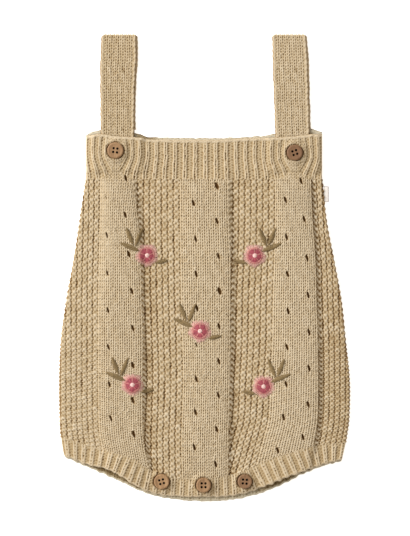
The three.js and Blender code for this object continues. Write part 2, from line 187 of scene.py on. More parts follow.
def curve_through(places, values):
    """The smooth curve through the values at the places, level beyond its ends."""
    order = np.argsort(places)
    xs, ys = np.array(places, float)[order], np.array(values, float)[order]
    count = np.arange(len(xs))
    low, high = np.maximum(count - 1, 0), np.minimum(count + 1, len(xs) - 1)
    slopes = (ys[high] - ys[low]) / (xs[high] - xs[low])

    def value(x):
        k = np.clip(np.searchsorted(xs, x) - 1, 0, len(xs) - 2)
        span = xs[k + 1] - xs[k]
        t = np.clip((x - xs[k]) / span, 0, 1)
        eased = ys[k] + (ys[k + 1] - ys[k]) * t * t * (3 - 2 * t)
        return eased + span * t * (1 - t) * ((1 - t) * slopes[k] - t * slopes[k + 1])

    return value


def smooth(start, end, x):
    """0 at start, 1 at end, with a soft start and end; end may be the lower of the two."""
    t = np.clip((x - start) / (end - start), 0, 1)
    return t * t * (3 - 2 * t)


def lerp(a, b, t):
    """From a where t is 0 to b where it is 1."""
    return a + (b - a) * t


line_curves = [curve_through(list(KNIT_LINES), line) for line in zip(*KNIT_LINES.values())]


def line_x(line, y):
    """x on knit line number line, from 0 at the left side to 7 at the right one."""
    at = np.stack([curve(y) for curve in line_curves])
    k = np.minimum(np.floor(line).astype(int), LAST_LINE - 1)
    k = np.broadcast_to(k, at.shape[1:])[None]
    low, high = np.take_along_axis(at, k, 0)[0], np.take_along_axis(at, k + 1, 0)[0]
    return lerp(low, high, line - k[0])


def line_at(x, y):
    """The knit line that passes through x at height y."""
    at = np.stack([curve(y) + 0 * x for curve in line_curves])
    k = np.clip((at <= x).sum(0) - 1, 0, LAST_LINE - 1)[None]
    low, high = np.take_along_axis(at, k, 0)[0], np.take_along_axis(at, k + 1, 0)[0]
    return k[0] + np.clip((x - low) / (high - low), 0, 1)


def from_side(x, y):
    """Distance in from the nearer side of the body."""
    return np.minimum(x - line_x(0.0, y), line_x(float(LAST_LINE), y) - x)


def hem_curves(hem):
    """Seam height, and the free edge's x and y, each by the seam's x."""
    columns = list(zip(*hem))
    return [curve_through(columns[0], columns[k]) for k in (1, 2, 3)]


def seam_y(lines, hem):
    """Height at which knit lines reach the seam of a hem band, found in small steps."""
    seam_at = hem_curves(hem)[0]
    y = np.full(np.shape(lines), -160.0)
    for _ in range(12):
        y = seam_at(line_x(lines, y))
    return y


# Stitches: each function gives the height of the yarn's surface, in millimetres, over the middle
# of the cloth's face. Chance makes each stitch a little different.
STITCH_LUCK = np.random.default_rng(11).normal(size=(6, 128, 256))
BELOW_ALL = -9.0  # lower than any yarn


def luck(which, column, row):
    """A fixed random number, about 1 in size, for each stitch; which picks one of six."""
    return STITCH_LUCK[which, column.astype(int) % 128, row.astype(int) % 256]


def wander(number, spacing, reach):
    """A smooth random curve that keeps near 0 and turns about once every spacing."""
    places = np.arange(-420, 421, spacing)
    return curve_through(places, reach * np.random.default_rng(number).uniform(-1, 1, len(places)))


def yarn(across, up, start, end, rise, thick):
    """Top of a length of yarn from start to end, seen at (across, up); rise(p) is its height."""
    run_x, run_y = end[0] - start[0], end[1] - start[1]
    from_x, from_y = across - start[0], up - start[1]
    share = np.clip((from_x * run_x + from_y * run_y) / (run_x**2 + run_y**2), 0, 1)
    off = (from_x - share * run_x) ** 2 + (from_y - share * run_y) ** 2
    return rise(share) - 0.72 * off / thick


def plain_knit(stitches, rows, wale, row):
    """V stitches: stitches counts wales, whole at their middles, and rows counts rows upwards."""
    column = np.round(stitches)
    side = np.where(stitches > column, 1, 0)
    across = np.abs(stitches - column) * wale
    top = np.full(np.shape(across), BELOW_ALL)
    for back in (-1, 0, 1):
        number = np.floor(rows) - back
        chance = 2 * column + side
        shift = 0.03 * wale * luck(0, chance, number)
        climb = row * (1.05 + 0.03 * luck(1, chance, number))
        start = (0.11 * wale + 0.3 * shift, 0.04 * row * luck(2, chance, number))
        end = (0.39 * wale + 0.4 * shift, climb)
        proud = 0.09 * luck(3, chance, number)
        thick = 0.105 * wale * (1 + 0.06 * luck(4, chance, number))
        leg = yarn(
            across, (rows - number) * row, start, end,
            lambda p: proud - 0.05 + 0.45 * np.sin(np.pi * (0.22 + 0.56 * p)), thick,
        )
        top = np.maximum(top, leg)
    return top


EDGE_ROUND, EDGE_LEAST = 1.5, 0.06


def eased_edge(off, wall):
    """Half the cloth's thickness at a distance in from its free edge, which is rounded."""
    share = np.clip(off / EDGE_ROUND, 0, 1)
    return np.maximum(0.5 * wall * np.sqrt(1 - (1 - share) ** 2), EDGE_LEAST)


def mark(mesh, name, kind, values, domain="POINT"):
    """Stores a value on each point, or each edge, of the mesh for its material."""
    field = {"FLOAT_VECTOR": "vector", "FLOAT_COLOR": "color"}.get(kind, "value")
    made = mesh.attributes.new(name, kind, domain)
    made.data.foreach_set(field, np.reshape(values, -1))


def cloth(name, outer, inner, relief, step, soft_sides):
    """One closed wall of cloth from two grids of points, rows by columns by 3. The inner face uses
    only each step-th point. The grid's sides other than soft_sides get a sharp edge."""
    rows, columns = outer.shape[0] - 1, outer.shape[1] - 1
    grid = np.arange((rows + 1) * (columns + 1)).reshape(rows + 1, columns + 1)
    used = np.zeros(grid.shape, bool)
    used[::step, ::step] = True
    used[[0, -1]] = True
    used[:, [0, -1]] = True
    under = np.full(grid.shape, -1)
    under[used] = grid.size + np.arange(used.sum())
    points = np.concatenate([outer.reshape(-1, 3), inner[used]]) * MM
    quads = np.stack([grid[:-1, :-1], grid[:-1, 1:], grid[1:, 1:], grid[1:, :-1]], -1)
    faces = quads.reshape(-1, 4).tolist()
    for r in range(0, rows, step):
        for c in range(0, columns, step):
            r1, c1 = min(r + step, rows), min(c + step, columns)
            near = under[r, c:c1] if r == 0 else under[r, [c]]
            right = under[r:r1, c1] if c1 == columns else under[[r], c1]
            far = under[r1, c1:c:-1] if r1 == rows else under[r1, [c1]]
            left = under[r1:r:-1, c] if c == 0 else under[[r1], c]
            loop = np.concatenate([near, right, far, left])
            faces.append(loop[::-1].tolist())
    around = [
        (grid[0, :], under[0, :], "near"),
        (grid[:, -1], under[:, -1], "right"),
        (grid[-1, ::-1], under[-1, ::-1], "far"),
        (grid[::-1, 0], under[::-1, 0], "left"),
    ]
    firm = np.zeros(len(points), bool)
    for top, low, side in around:
        faces += np.stack([top[1:], top[:-1], low[:-1], low[1:]], -1).tolist()
        if side not in soft_sides:
            firm[top] = True
    mesh = bpy.data.meshes.new(name)
    mesh.from_pydata(points, [], faces)
    mesh.polygons.foreach_set("use_smooth", np.ones(len(faces), bool))
    ends = np.zeros(2 * len(mesh.edges), int)
    mesh.edges.foreach_get("vertices", ends)
    ends = ends.reshape(-1, 2)
    on_rim = np.zeros(len(points), bool)
    on_rim[np.concatenate([grid[0], grid[-1], grid[:, 0], grid[:, -1]])] = True
    mark(mesh, "sharp_edge", "BOOLEAN", firm[ends].all(1) & on_rim[ends].all(1), "EDGE")
    # The material reads relief as colour: the stitches' height, plus painted shade and light added in the
    # sections.
    depth = np.zeros(len(points))
    depth[: grid.size] = relief.reshape(-1)
    mark(mesh, "relief", "FLOAT", depth)
    made = set_out(name, mesh)
    made.data.materials.append(cotton)
    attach(made, "root")
    return made


# The dyed yarn's colour with painted shade, from dark brown in the deepest gap to pale on the
# highest crown of a stitch.
SAND_WITH_GAP_SHADE = ((0.0, "#573a11"), (0.3, "#8a6d47"), (0.5, "#ad9874"), (0.66, "#c2b093"), (0.9, "#ccbea5"))
# A duller, greyer copy of the stops above, darker in its gaps, for the garment's inside: painted shade.
SAND_INSIDE_SHADED = ((0.0, "#44300f"), (0.3, "#75603c"), (0.5, "#9a8a6c"), (0.66, "#b8ad94"), (0.9, "#ccc4b0"))


def cotton_tree(tree, stops):
    """Soft-spun cotton yarn, dyed sand, matt with a faint halo of fibres. The ramp paints it pale on
    the crowns of the stitches, warmer on their sides, and dark brown in the gaps between them:
    painted shade. The inside of the garment gets a duller, more olive copy, also painted shade."""
    place = add(tree, "ShaderNodeTexCoord", {}, {}).outputs["Object"]
    relief = add(tree, "ShaderNodeAttribute", {"attribute_name": "relief"}, {}).outputs["Fac"]
    height = add(tree, "ShaderNodeMapRange", {}, {"Value": relief, "From Min": -1.1, "From Max": 0.9})
    ramp = add(tree, "ShaderNodeValToRGB", {}, {"Fac": height.outputs[0]})
    while len(ramp.color_ramp.elements) < len(stops):
        ramp.color_ramp.elements.new(0.5)
    for stop, (at, colour) in zip(ramp.color_ramp.elements, stops):
        stop.position = at
        stop.color = linear(colour)
    # Fibres, about 0.5 mm apart so that they show, and slow changes of shade along the yarn.
    fibres = add(
        tree, "ShaderNodeTexNoise", {}, {"Vector": place, "Scale": 1900.0, "Detail": 3.0}
    ).outputs["Fac"]
    shade = add(
        tree, "ShaderNodeTexNoise", {}, {"Vector": place, "Scale": 60.0, "Detail": 3.0}
    ).outputs["Fac"]
    lights = add(
        tree, "ShaderNodeMapRange", {}, {"Value": fibres, "From Min": 0.3, "From Max": 0.7,
                                         "To Min": 0.86, "To Max": 1.1}
    ).outputs[0]
    tones = add(
        tree, "ShaderNodeMapRange", {}, {"Value": shade, "From Min": 0.3, "From Max": 0.7,
                                         "To Min": 0.98, "To Max": 1.015}
    ).outputs[0]
    both = add(tree, "ShaderNodeMath", {"operation": "MULTIPLY"}, {0: lights, 1: tones}).outputs[0]
    colour = add(
        tree, "ShaderNodeVectorMath", {"operation": "SCALE"}, {0: ramp.outputs["Color"], "Scale": both}
    ).outputs[0]
    fuzz = add(
        tree, "ShaderNodeBump", {}, {"Height": fibres, "Strength": 0.35, "Distance": 0.0003}
    ).outputs[0]
    return add(
        tree, "ShaderNodeBsdfPrincipled", {}, {
            "Base Color": colour, "Roughness": 0.9, "Normal": fuzz, "Specular IOR Level": 0.2,
            "Sheen Weight": 0.12, "Sheen Roughness": 0.6,
        }
    )


cotton = finish_of("spun_cotton_knit", lambda tree: cotton_tree(tree, SAND_WITH_GAP_SHADE))
cotton_inside_shaded = finish_of("spun_cotton_knit_inside_shaded", lambda tree: cotton_tree(tree, SAND_INSIDE_SHADED))


def show_inside_shaded(piece, faces):
    """Gives the piece's first faces, those of its upper side, the look of the garment's inside:
    a duller, greyer copy of the yarn's colours, which is painted shade.
    """
    piece.data.materials.append(cotton_inside_shaded)
    marks = np.zeros(len(piece.data.polygons), int)
    marks[:faces] = 1
    piece.data.polygons.foreach_set("material_index", marks)


BACK_COLUMNS, BACK_ROWS = 200, 240
lines = np.linspace(0, LAST_LINE, BACK_COLUMNS + 1)[None, :]
y = lerp(seam_y(lines, BACK_HEM), TOP_SEAM_Y, np.linspace(0, 1, BACK_ROWS + 1)[:, None])
x = line_x(lines + 0 * y, y)
half = eased_edge(from_side(x, y), WALL)
relief = plain_knit(x / WALE, y / ROW, WALE, ROW)
# It lies face down, so its stitches are dents in the underside and can't rise from it.
sunk = np.clip(0.4 - relief, 0, 1.0) * np.clip(half / HALF_WALL, 0, 1)
under = np.stack([x, y, HALF_WALL - half + 0.6 * sunk], -1)
upper = np.stack([x, y, HALF_WALL + half], -1)
back_panel = cloth(
    "back_knit", under[:, ::-1], upper[:, ::-1], relief[:, ::-1], step=4, soft_sides=("left", "right")
)
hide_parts("back_panel")

# ---- The front of the body ----------------------------------------------------------------------
# One knitted piece: three bulging panels of plain knit with eyelets, between and beside four of
# seed stitch, whose bumps stand 5 mm apart. It is made here as three strips with shared edges.
FRONT_HEM = [  # its ribs, as in BACK_HEM
    (-121.4, -142.8, -118.9, -158.6),
    (-96.8, -150.4, -98.4, -166.5),
    (-79.9, -155.1, -83.4, -169.7),
    (-63, -160.1, -70.0, -176.2),
    (-47.7, -169.4, -52, -187.2),
    (-33.4, -176.2, -35.1, -192.2),
    (0.4, -177.9, 0.4, -193.6),
    (26.6, -173.6, 28.3, -191.8),
    (40.1, -168.2, 48.6, -185.5),
    (55.3, -161, 63, -179.6),
    (73.9, -155.5, 81.5, -172.6),
    (94.2, -150, 97.6, -167.0),
    (119.1, -147.4, 116.2, -161.9),
]
BUTTON_PLACES = {  # x, y and radius
    "button_strap_left": (-75.2, 99.2, 6.85),
    "button_strap_right": (76.1, 97.3, 6.65),
    "button_crotch_left": (-36.2, -180.3, 6.4),
    "button_crotch_center": (-0.8, -183.2, 6.25),
    "button_crotch_right": (34.0, -180.2, 6.05),
}
RIDGE, SHOULDER, SEED_LIFT = 3.2, 2.2, 0.8  # how far a bulge, its fold and the rest are raised
SIDE_ROLL = 9.0  # how far in from the sides the front curves down to its seams
FRONT_WALE, PLAIN_WIDTH = 3.85, 38  # of one stitch, and of a plain panel
PANEL_WALES = (0, 10, 0, 11, 0, 10, 0)  # plain stitches across each panel
SEED_PITCH = 5.0
SEED_PANELS = (  # panel, the knit line that its columns follow, and their width
    (0, 1, 4.5), (2, 3, 5.07), (4, 5, 5.07), (6, 6, 4.6),
)
FACE_DEPTH = -1.6  # the deepest dent in the cloth's face
# Painted shade: an eyelet is a pit that the colour ramp paints the darkest brown, for the shade seen
# through a hole.
HOLE_DEPTH = -2.4  # an eyelet, darker than any dent
# Painted shade: the narrow gap round each button is dented and painted dark brown.
BUTTON_GAP = -0.9  # the cloth close round a button
EYELETS = [  # x, y and size of each opening, in two columns down each plain panel
    (-83.2, 60.3, 0.4), (-82.4, 27.9, 0.8), (-81.9, -4.2, 0.8), (-81.4, -35.5, 0.9),
    (-81, -66.8, 0.9), (-80.2, -98, 0.9), (-79, -126.8, 0.9),
    (-66.5, 76, 1.0), (-66.7, 44.8, 1.0), (-63.8, 11.8, 1.1), (-61.3, -19.4, 1.0),
    (-60.4, -50.7, 1.0), (-60.4, -82, 1.1), (-60.4, -111.5, 1.1), (-59.6, -140.3, 1.1),
    (-9.3, 54.9, 1.0), (-7.5, 24.5, 1.0), (-7, -5, 1.0), (-6.3, -33.8, 1.0), (-6.7, -65, 0.7),
    (-6.8, -93.8, 1.0), (-7.5, -121.7, 1.0), (-8.5, -151.3, 1.0),
    (10.4, 69.3, 1.2), (10.6, 39.7, 1.0), (11.8, 10.1, 1.0), (12.7, -19.4, 1.25),
    (12.3, -49, 1.0), (12.1, -78.6, 1.0), (11.8, -107.3, 1.0), (10.4, -136, 1.0),
    (9.5, -165.6, 1.0),
    (68.4, 57.5, 1.0), (69.3, 26.2, 1.0), (70.1, -5, 1.0), (70.6, -36.3, 1.0),
    (69.7, -66.8, 1.0), (68.9, -98, 1.0), (66.8, -125.9, 1.0), (61.8, -153.8, 1.0),
    (81.5, 73.5, 1.0), (84.1, 41.4, 1.0), (86.6, 8.5, 1.0), (87.5, -22.8, 1.0),
    (88.3, -54, 1.0), (88.3, -84.5, 1.0), (87.5, -115, 1.0), (83.2, -142.8, 1.0),
]


def knit_lift(line):
    """How far the front stands off the back along a knit line: up each bulge from its left edge,
    and down the fold on its right."""
    k = np.minimum(np.floor(line), LAST_LINE - 1)
    t = line - k
    steep = np.where(k == 1, 3.4, 2.2)  # the first bulge rises more steeply than the others
    bulge = np.clip(1 - np.abs(2 * t - 1) ** np.where(t < 0.5, steep, 4.0), 0, 1) ** 0.85
    plain = lerp(SEED_LIFT, SHOULDER, t**3) + (RIDGE - SEED_LIFT - 0.5 * (t > 0.5) * (2 * t - 1)) * bulge
    falling = SHOULDER * np.clip(1 - t / 0.12, 0, 1) ** 1.6
    seeded = np.where(k == 0, SEED_LIFT, SEED_LIFT * t**0.6 + falling)
    return np.where(k % 2 == 1, plain, seeded)


def front_lift(line, x, y):
    """How far the front stands off the back at (x, y), less towards its sides, top and hem."""
    top = smooth(TOP_SEAM_Y + 14, TOP_SEAM_Y - 14, y)
    hem = smooth(-186.0, -150.0, y)
    roll = np.sqrt(np.clip(from_side(x, y) / SIDE_ROLL, 0, 1))
    return lerp(SEED_LIFT, knit_lift(line), top * (0.25 + 0.75 * hem)) * roll


def knot(across, up, middle, size, rise):
    """Top of a lump of yarn at (across, up): flat on top and steep towards its rim."""
    return rise - 0.9 * (((across - middle[0]) / size[0]) ** 2 + ((up - middle[1]) / size[1]) ** 2) ** 2


def seed_stitch(stitches, bumps, column_width):
    """Purl and plain stitches in turn up each column, staggered from one column to the next. A
    purl bump stands on the two legs of the plain stitch below it, with a small hole between them."""
    top = np.full(np.shape(stitches), BELOW_ALL)
    for beside in (0, 1):
        column = np.floor(stitches) + beside
        off = (stitches - column) * column_width
        rows = bumps + 0.5 * (column % 2)
        for back in (-1, 0, 1):
            number = np.round(rows) - back
            up = (rows - number) * SEED_PITCH + 0.2 * luck(0, column, number) + 0.16 * off
            across = np.abs(off - 0.14 * luck(3, column, number))
            wide = column_width * (1 + 0.04 * luck(1, column, number))
            proud = 0.1 * luck(2, column, number)
            for middle, size, rise in (
                ((0, 0), (0.415, 0.34), proud + 0.36),  # the purl bump
                ((0.315, -0.43), (0.22, 0.27), proud + 0.28),  # the legs under it
                ((0.2, -0.75), (0.2, 0.16), 0.2),  # their feet
                ((0, -0.5), (0.18, 0.3), -0.2),  # yarn between the legs
                ((0.5, 0), (0.2, 0.14), -0.3),  # and in the gaps beside the bump
                ((0.5, 0), (0.3, 0.6), -1.1),
            ):
                middle = (middle[0] * wide, middle[1] * SEED_PITCH)
                size = (size[0] * wide, size[1] * SEED_PITCH)
                top = np.maximum(top, knot(across, up, middle, size, rise))
    return top


def pulled_round(x, y):
    """Where the cloth at (x, y) would lie without the eyelets, and how deep it is in one."""
    from_x, from_y, depth = x.copy(), y.copy(), np.zeros(x.shape)
    for hole_x, hole_y, size in EYELETS:
        near = (np.abs(x - hole_x) < 9) & (np.abs(y - hole_y) < 11)
        dx, dy = x[near] - hole_x, y[near] - hole_y
        lean_x = dx + 0.28 * dy
        wide, tall = 0.9 * size**2, 2.5 * size**0.5
        reach = np.sqrt((lean_x / wide) ** 2 + (dy / tall) ** 2) + 1e-6
        kept = np.sqrt(np.maximum(reach**2 - 1, 0)) / reach
        fade = np.exp(-((reach / 4.5) ** 2))
        from_x[near] -= dx * (1 - kept) * fade
        from_y[near] -= dy * (1 - kept) * fade * 0.5
        depth[near] = np.maximum(depth[near], smooth(1.25, 0.7, reach))
    return from_x, from_y, depth


def round_buttons(x, y):
    """1 in the narrow gap where the knit gives way round each button, strongest beside it."""
    most = np.zeros(np.shape(x))
    for button_x, button_y, radius in BUTTON_PLACES.values():
        dx, dy = x - button_x, y - button_y
        r = np.sqrt(dx**2 + dy**2) + 1e-6
        gap = smooth(radius - 0.5, radius + 0.1, r) * smooth(radius + 1.1, radius + 0.5, r)
        beside = 0.35 + 0.65 * (dx / r) ** 2 + 0.3 * np.sin(5 * np.arctan2(dy, dx) + button_x)
        most = np.maximum(most, gap * np.clip(beside, 0, 1))
    return most


def collars(x, y):
    """How far the knit is pushed up close round the buttons, which sit deep in it."""
    most = np.zeros(np.shape(x))
    for button_x, button_y, radius in BUTTON_PLACES.values():
        r = np.hypot(x - button_x, y - button_y)
        rise = np.exp(-(((r - radius - 1.6) / 2.4) ** 2)) * smooth(radius - 1.5, radius + 0.3, r)
        most = np.maximum(most, 1.3 * rise)
    return most


def front_relief(line, x, y, level_y):
    """Height of the stitches all over the front, whose rows are level at level_y."""
    from_x, from_y, hole = pulled_round(x, y)
    from_y += level_y - y
    panel = np.minimum(np.floor(line), LAST_LINE - 1)
    sway = wander(7, 8.0, 0.12)(from_y + 2.3 * from_x)
    at = line + (from_x - x + sway) / PLAIN_WIDTH
    wales = np.array(PANEL_WALES)[panel.astype(int)]
    knit = plain_knit(wales * (at - panel) + 0.5, from_y / ROW, FRONT_WALE, ROW)
    # All plain stitches stand 0.08 mm higher. The right plain panel gets 0.05 more, which also paints it
    # lighter, as if it caught more light: painted light.
    knit += 0.08 + 0.05 * (panel == 5)
    bumps = level_y / SEED_PITCH
    seeded = np.full(x.shape, BELOW_ALL)
    for number, anchor, width in SEED_PANELS:
        here = panel == number
        off = x - line_curves[anchor](y)
        seeded[here] = seed_stitch(off[here] / width + 0.5, bumps[here], width)
        if number < LAST_LINE - 1:
            # Its last bumps lean over the first stitches of the plain knit beside it.
            past = (panel == number + 1) & (off < 1.6)
            over = off[past]
            leaning = seed_stitch(0.5 - 0.7 * over / width, bumps[past], width)
            knit[past] = np.maximum(knit[past], leaning - 0.35 * over)
    # Towards its top left corner the first plain panel is stretched smoother.
    calm = (panel == 1) * smooth(1.0, 1.08, line) * smooth(1.5, 1.1, line) * smooth(-60.0, 20.0, y)
    relief = np.where(panel % 2 == 1, lerp(knit, 0.25, 0.4 * calm), seeded)
    # Painted shade: the narrow gap round each button is painted dark brown, beyond its real dent.
    relief = lerp(relief, np.minimum(relief, BUTTON_GAP), round_buttons(x, y))
    # Painted shade: the eyelets are painted darker than any dent, for the shade seen through them.
    return np.maximum(lerp(relief, HOLE_DEPTH, hole), HOLE_DEPTH)


def front_wall(x, y, level, half, relief, rising=0.0):
    """Both faces of a wall of cloth whose middle is at level. Its stitches stand out of the outer
    one, and rising is how far a rib lifts them."""
    proud = (np.maximum(relief, FACE_DEPTH) + rising) * np.clip(half / HALF_WALL, 0, 1)
    return np.stack([x, y, level + half + proud], -1), np.stack([x, y, level - half], -1)


FRONT_COLUMNS = (48, 80, 66, 88, 66, 80, 46)  # eight to each plain stitch
FRONT_ROWS, FRONT_STEP = 408, 0.625
column_lines = np.concatenate(
    [[0.0]] + [k + np.arange(1, n + 1) / n for k, n in enumerate(FRONT_COLUMNS)]
)[None, :]
up = np.linspace(0, 1, FRONT_ROWS + 1)[:, None]
level_y = TOP_SEAM_Y - FRONT_ROWS * FRONT_STEP * (1 - up)
y = level_y + (seam_y(column_lines, FRONT_HEM) - level_y[0]) * np.clip(1 - up / 0.45, 0, 1)
lines = column_lines + 0 * y
x = line_x(lines, y)
relief = front_relief(lines, x, y, level_y + 0 * y)
edge = from_side(x, y)
half = eased_edge(edge, WALL)
at_bump = np.cos(2 * np.pi * level_y / SEED_PITCH)
lift = front_lift(lines + 0.02 * at_bump * smooth(0.0, 6.0, edge), x, y)
level = FRONT_LEVEL + lift + HALF_WALL + collars(x, y)
# Painted shade: the shade that each plain panel casts on the seed stitch on its right is painted
# in, most of all low down.
PAST_LINE = 2.2  # from the knit line to the fold
FOLDS = ((2, 0.45, 0.4), (4, 0.7, 0.8), (6, 1.0, 1.2))  # knit line, and how narrow its shade is
past_fold = np.stack([x - line_curves[line](y) - PAST_LINE for line, _, _ in FOLDS])
from_fold = np.min([
    np.where(past > 0, reach * past, -past) + spare
    for past, (_, reach, spare) in zip(past_fold, FOLDS)
], axis=0)
in_fold = smooth(5.4, 0.9, from_fold) * (0.5 + 0.5 * smooth(60.0, 0.0, y))
# Painted light and shade: raised parts of the front are painted lighter and low ones darker, and in_fold
# paints the fold's shade, darkest in the gaps.
shown = relief + 0.035 * (lift - 1.8) - in_fold * (0.2 - 0.3 * np.clip(relief, -0.8, 0.8))
# Painted light and shade by turns along the crease, one bump in each seed row, so that the dark
# line there breaks into dots.
at_crease = smooth(2.2, 0.9, np.abs(past_fold + 0.3))
by_turns = 0.5 * np.cos(2 * np.pi * (level_y / SEED_PITCH + 0.25 + 0.15 * past_fold)) + 0.08
shown += np.sum(at_crease * by_turns, axis=0)
# A little lighter on the left seed panel; painted shade darkens the front towards its right end and along
# its rounded sides.
shown += 0.05 * (lines < 1) - 0.1 * smooth(100.0, 112.0, x) - 0.35 * smooth(1.6, 0.2, edge)
# The outermost bumps stand out of the sides a little.
out = (0.45 + 0.35 * at_bump) * smooth(2.5, 0.0, edge) * np.sign(lines - 0.5 * LAST_LINE)
outer, inner = front_wall(x + out, y, level, half, relief)
cuts = np.cumsum((0,) + FRONT_COLUMNS)
strips = (  # first and last line, and the flat size and area
    ("left", 0, 2, (0.073, 0.245), 0.0145), ("middle", 2, 5, (0.12, 0.253), 0.0277),
    ("right", 5, 7, (0.071, 0.242), 0.0135),
)
for side, first, last, flat, area in strips:
    span = slice(cuts[first], cuts[last] + 1)
    strip = cloth(
        f"front_knit_{side}", outer[:, span], inner[:, span], shown[:, span], step=4, soft_sides=(side,)
    )
    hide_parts("front_panel")

# ---- The front top band -------------------------------------------------------------------------
# Rib of one plain and one purl stitch, about 9 mm a pair, with a bound-off edge. The pairs part
# round the strap buttons and close up below them. The strap ends lie behind it.
FRONT_TOP = [  # x and y along its bound-off edge
    (-100, 111.6), (-89, 113.3), (-74, 111.4), (-57, 110.5), (-48, 109), (0, 108.2), (48, 110),
    (74, 111.3), (90, 113), (99.4, 113.2),
]
STRAPS = {  # y and the two sides' x, from behind the front band up to the fold
    "left": [
        (86, -87.6, -59.6), (115, -88, -59.4), (150, -88.2, -58.8), (176, -88.2, -57.6),
        (197.6, -87.2, -57.8),
    ],
    "right": [
        (86, 60.4, 88.6), (115, 59.8, 89), (150, 58.4, 88), (176, 57.6, 87.2), (197.6, 57.2, 85.8),
    ],
}
STRAP_WALL = 2.0
STRAP_END_Y = 86.0
BAND_SIDES = (-100.2, 99.4)
RIB_ROW = 2.45
FRONT_TOP_ROWS, FRONT_TOP_LINK = 15, 3.6  # rows up the band, and the length of an edge stitch


def strap_sides(side):
    """The curves of a strap's left and right edges, by height."""
    places, near, far = zip(*STRAPS[side])
    return curve_through(places, near), curve_through(places, far)


def strap_bump(x, y):
    """1 over the strap ends behind the front band, falling to 0 around them."""
    most = np.zeros(np.shape(x))
    for side in STRAPS:
        near, far = strap_sides(side)
        start, stop = near(y) - 5, far(y) + 6
        across = np.minimum(smooth(start - 6, start, x), smooth(stop + 6, stop, x))
        most = np.maximum(most, across * smooth(STRAP_END_Y - 10, STRAP_END_Y - 2, y))
    return most


def front_top_lift(x, y):
    """How far the top band stands off the back: as the panels do, or to make room for a strap."""
    beneath = front_lift(line_at(x, np.full(x.shape, TOP_SEAM_Y)), x, np.minimum(y, 120.0))
    return np.maximum(beneath, (STRAP_WALL + SEAM) * strap_bump(x, y))


def rib(pairs, rows, pitch, full=1.0):
    """Plain stitches where pairs is whole, and purl ones half-way between; swell() raises them.
    The plain stitches are as broad and as thick as full says."""
    number = np.round(pairs)
    side = np.where(pairs > number, 1, 0)
    across = np.abs(pairs - number) * pitch
    top = np.full(np.shape(across), BELOW_ALL)
    for back in (0, 1, 2):
        stitch = np.floor(rows) - back
        chance = 2 * number + side
        up = (rows - stitch) * RIB_ROW
        shift = 0.02 * pitch * luck(0, chance, stitch)
        leg = yarn(
            across, up, (0.08 * pitch + shift, 0.0), (0.175 * full * pitch + shift, 1.3 * RIB_ROW),
            lambda p: 0.06 * luck(3, chance, stitch) + 0.05 + 0.3 * np.sin(np.pi * (0.2 + 0.6 * p)),
            0.085 * full * pitch,
        )
        top = np.maximum(top, leg)
    valley = (pairs - np.floor(pairs) - 0.5) * pitch
    for hand in (-1, 1):
        shifted = rows + 0.25 * hand
        chance = 2 * np.floor(pairs) + max(hand, 0)
        for back in (-1, 0, 1):
            stitch = np.round(shifted) - back
            up = (shifted - stitch) * RIB_ROW + 0.15 * luck(1, chance, stitch)
            bar = yarn(
                hand * valley, up, (0.02 * pitch, 0.3), (0.2 * pitch, -0.35),
                lambda p: 0.22 - 0.25 * p**2, 1.3,
            )
            top = np.maximum(top, bar)
    return top


def swell(pairs, amount):
    """How far the plain stitches of a rib rise and the purl ones sink."""
    return 0.37 * amount * np.cos(2 * np.pi * pairs)


def edge_chain(along, off, link):
    """The links of a bound-off edge, lying on their sides; off is the distance in from the edge."""
    top = np.full(np.shape(along), BELOW_ALL)
    for back in (-1, 0, 1):
        number = np.round(along) - back
        run = (along - number) * link + 0.2 * luck(5, number, number)
        for start_off, end_off in ((0.9, 1.9), (3.5, 2.3)):
            strand = yarn(
                run, off, (-0.6 * link, start_off), (0.5 * link, end_off),
                lambda p: 0.1 + 0.45 * np.sin(np.pi * (0.2 + 0.6 * p)), 0.9,
            )
            top = np.maximum(top, strand)
    return top


def pairs_at(x):
    """Rib pairs counted from the middle one, at 0.85. They are 9 mm wide there and get narrower by
    0.13 mm from each pair to the next."""
    off = np.abs(x - 0.85)
    return np.sign(x - 0.85) * (9.0 - np.sqrt(81 - 0.26 * off)) / 0.13


def parted_round_buttons(x, y):
    """x as it would be had no button parted the ribs, and 1 where plain knit fills the gap."""
    from_x, filled = x.copy(), np.zeros(x.shape)
    for side in STRAPS:
        button_x, button_y, _ = BUTTON_PLACES[f"button_strap_{side}"]
        off = x - button_x
        # The ribs are pushed off to both sides by reach, and less the further away they run.
        reach = 8.6 * smooth(76.0, button_y - 3, y) * (1 - 0.15 * smooth(button_y, 112.0, y))
        own = np.maximum(np.abs(off) - reach, 0)
        for _ in range(8):
            own = np.maximum(np.abs(off) - reach * np.exp(-own / 22), 0)
        from_x += np.sign(off) * own - off
        gap = smooth(reach + 0.4, reach - 1.0, np.abs(off)) * (reach > 1.2)
        hill = TOP_SEAM_Y + 9.0 * np.exp(-((off / 10) ** 2))
        filled = np.maximum(filled, np.maximum(gap, smooth(hill, hill - 2.5, y) * (np.abs(off) < 16)))
    return from_x, filled


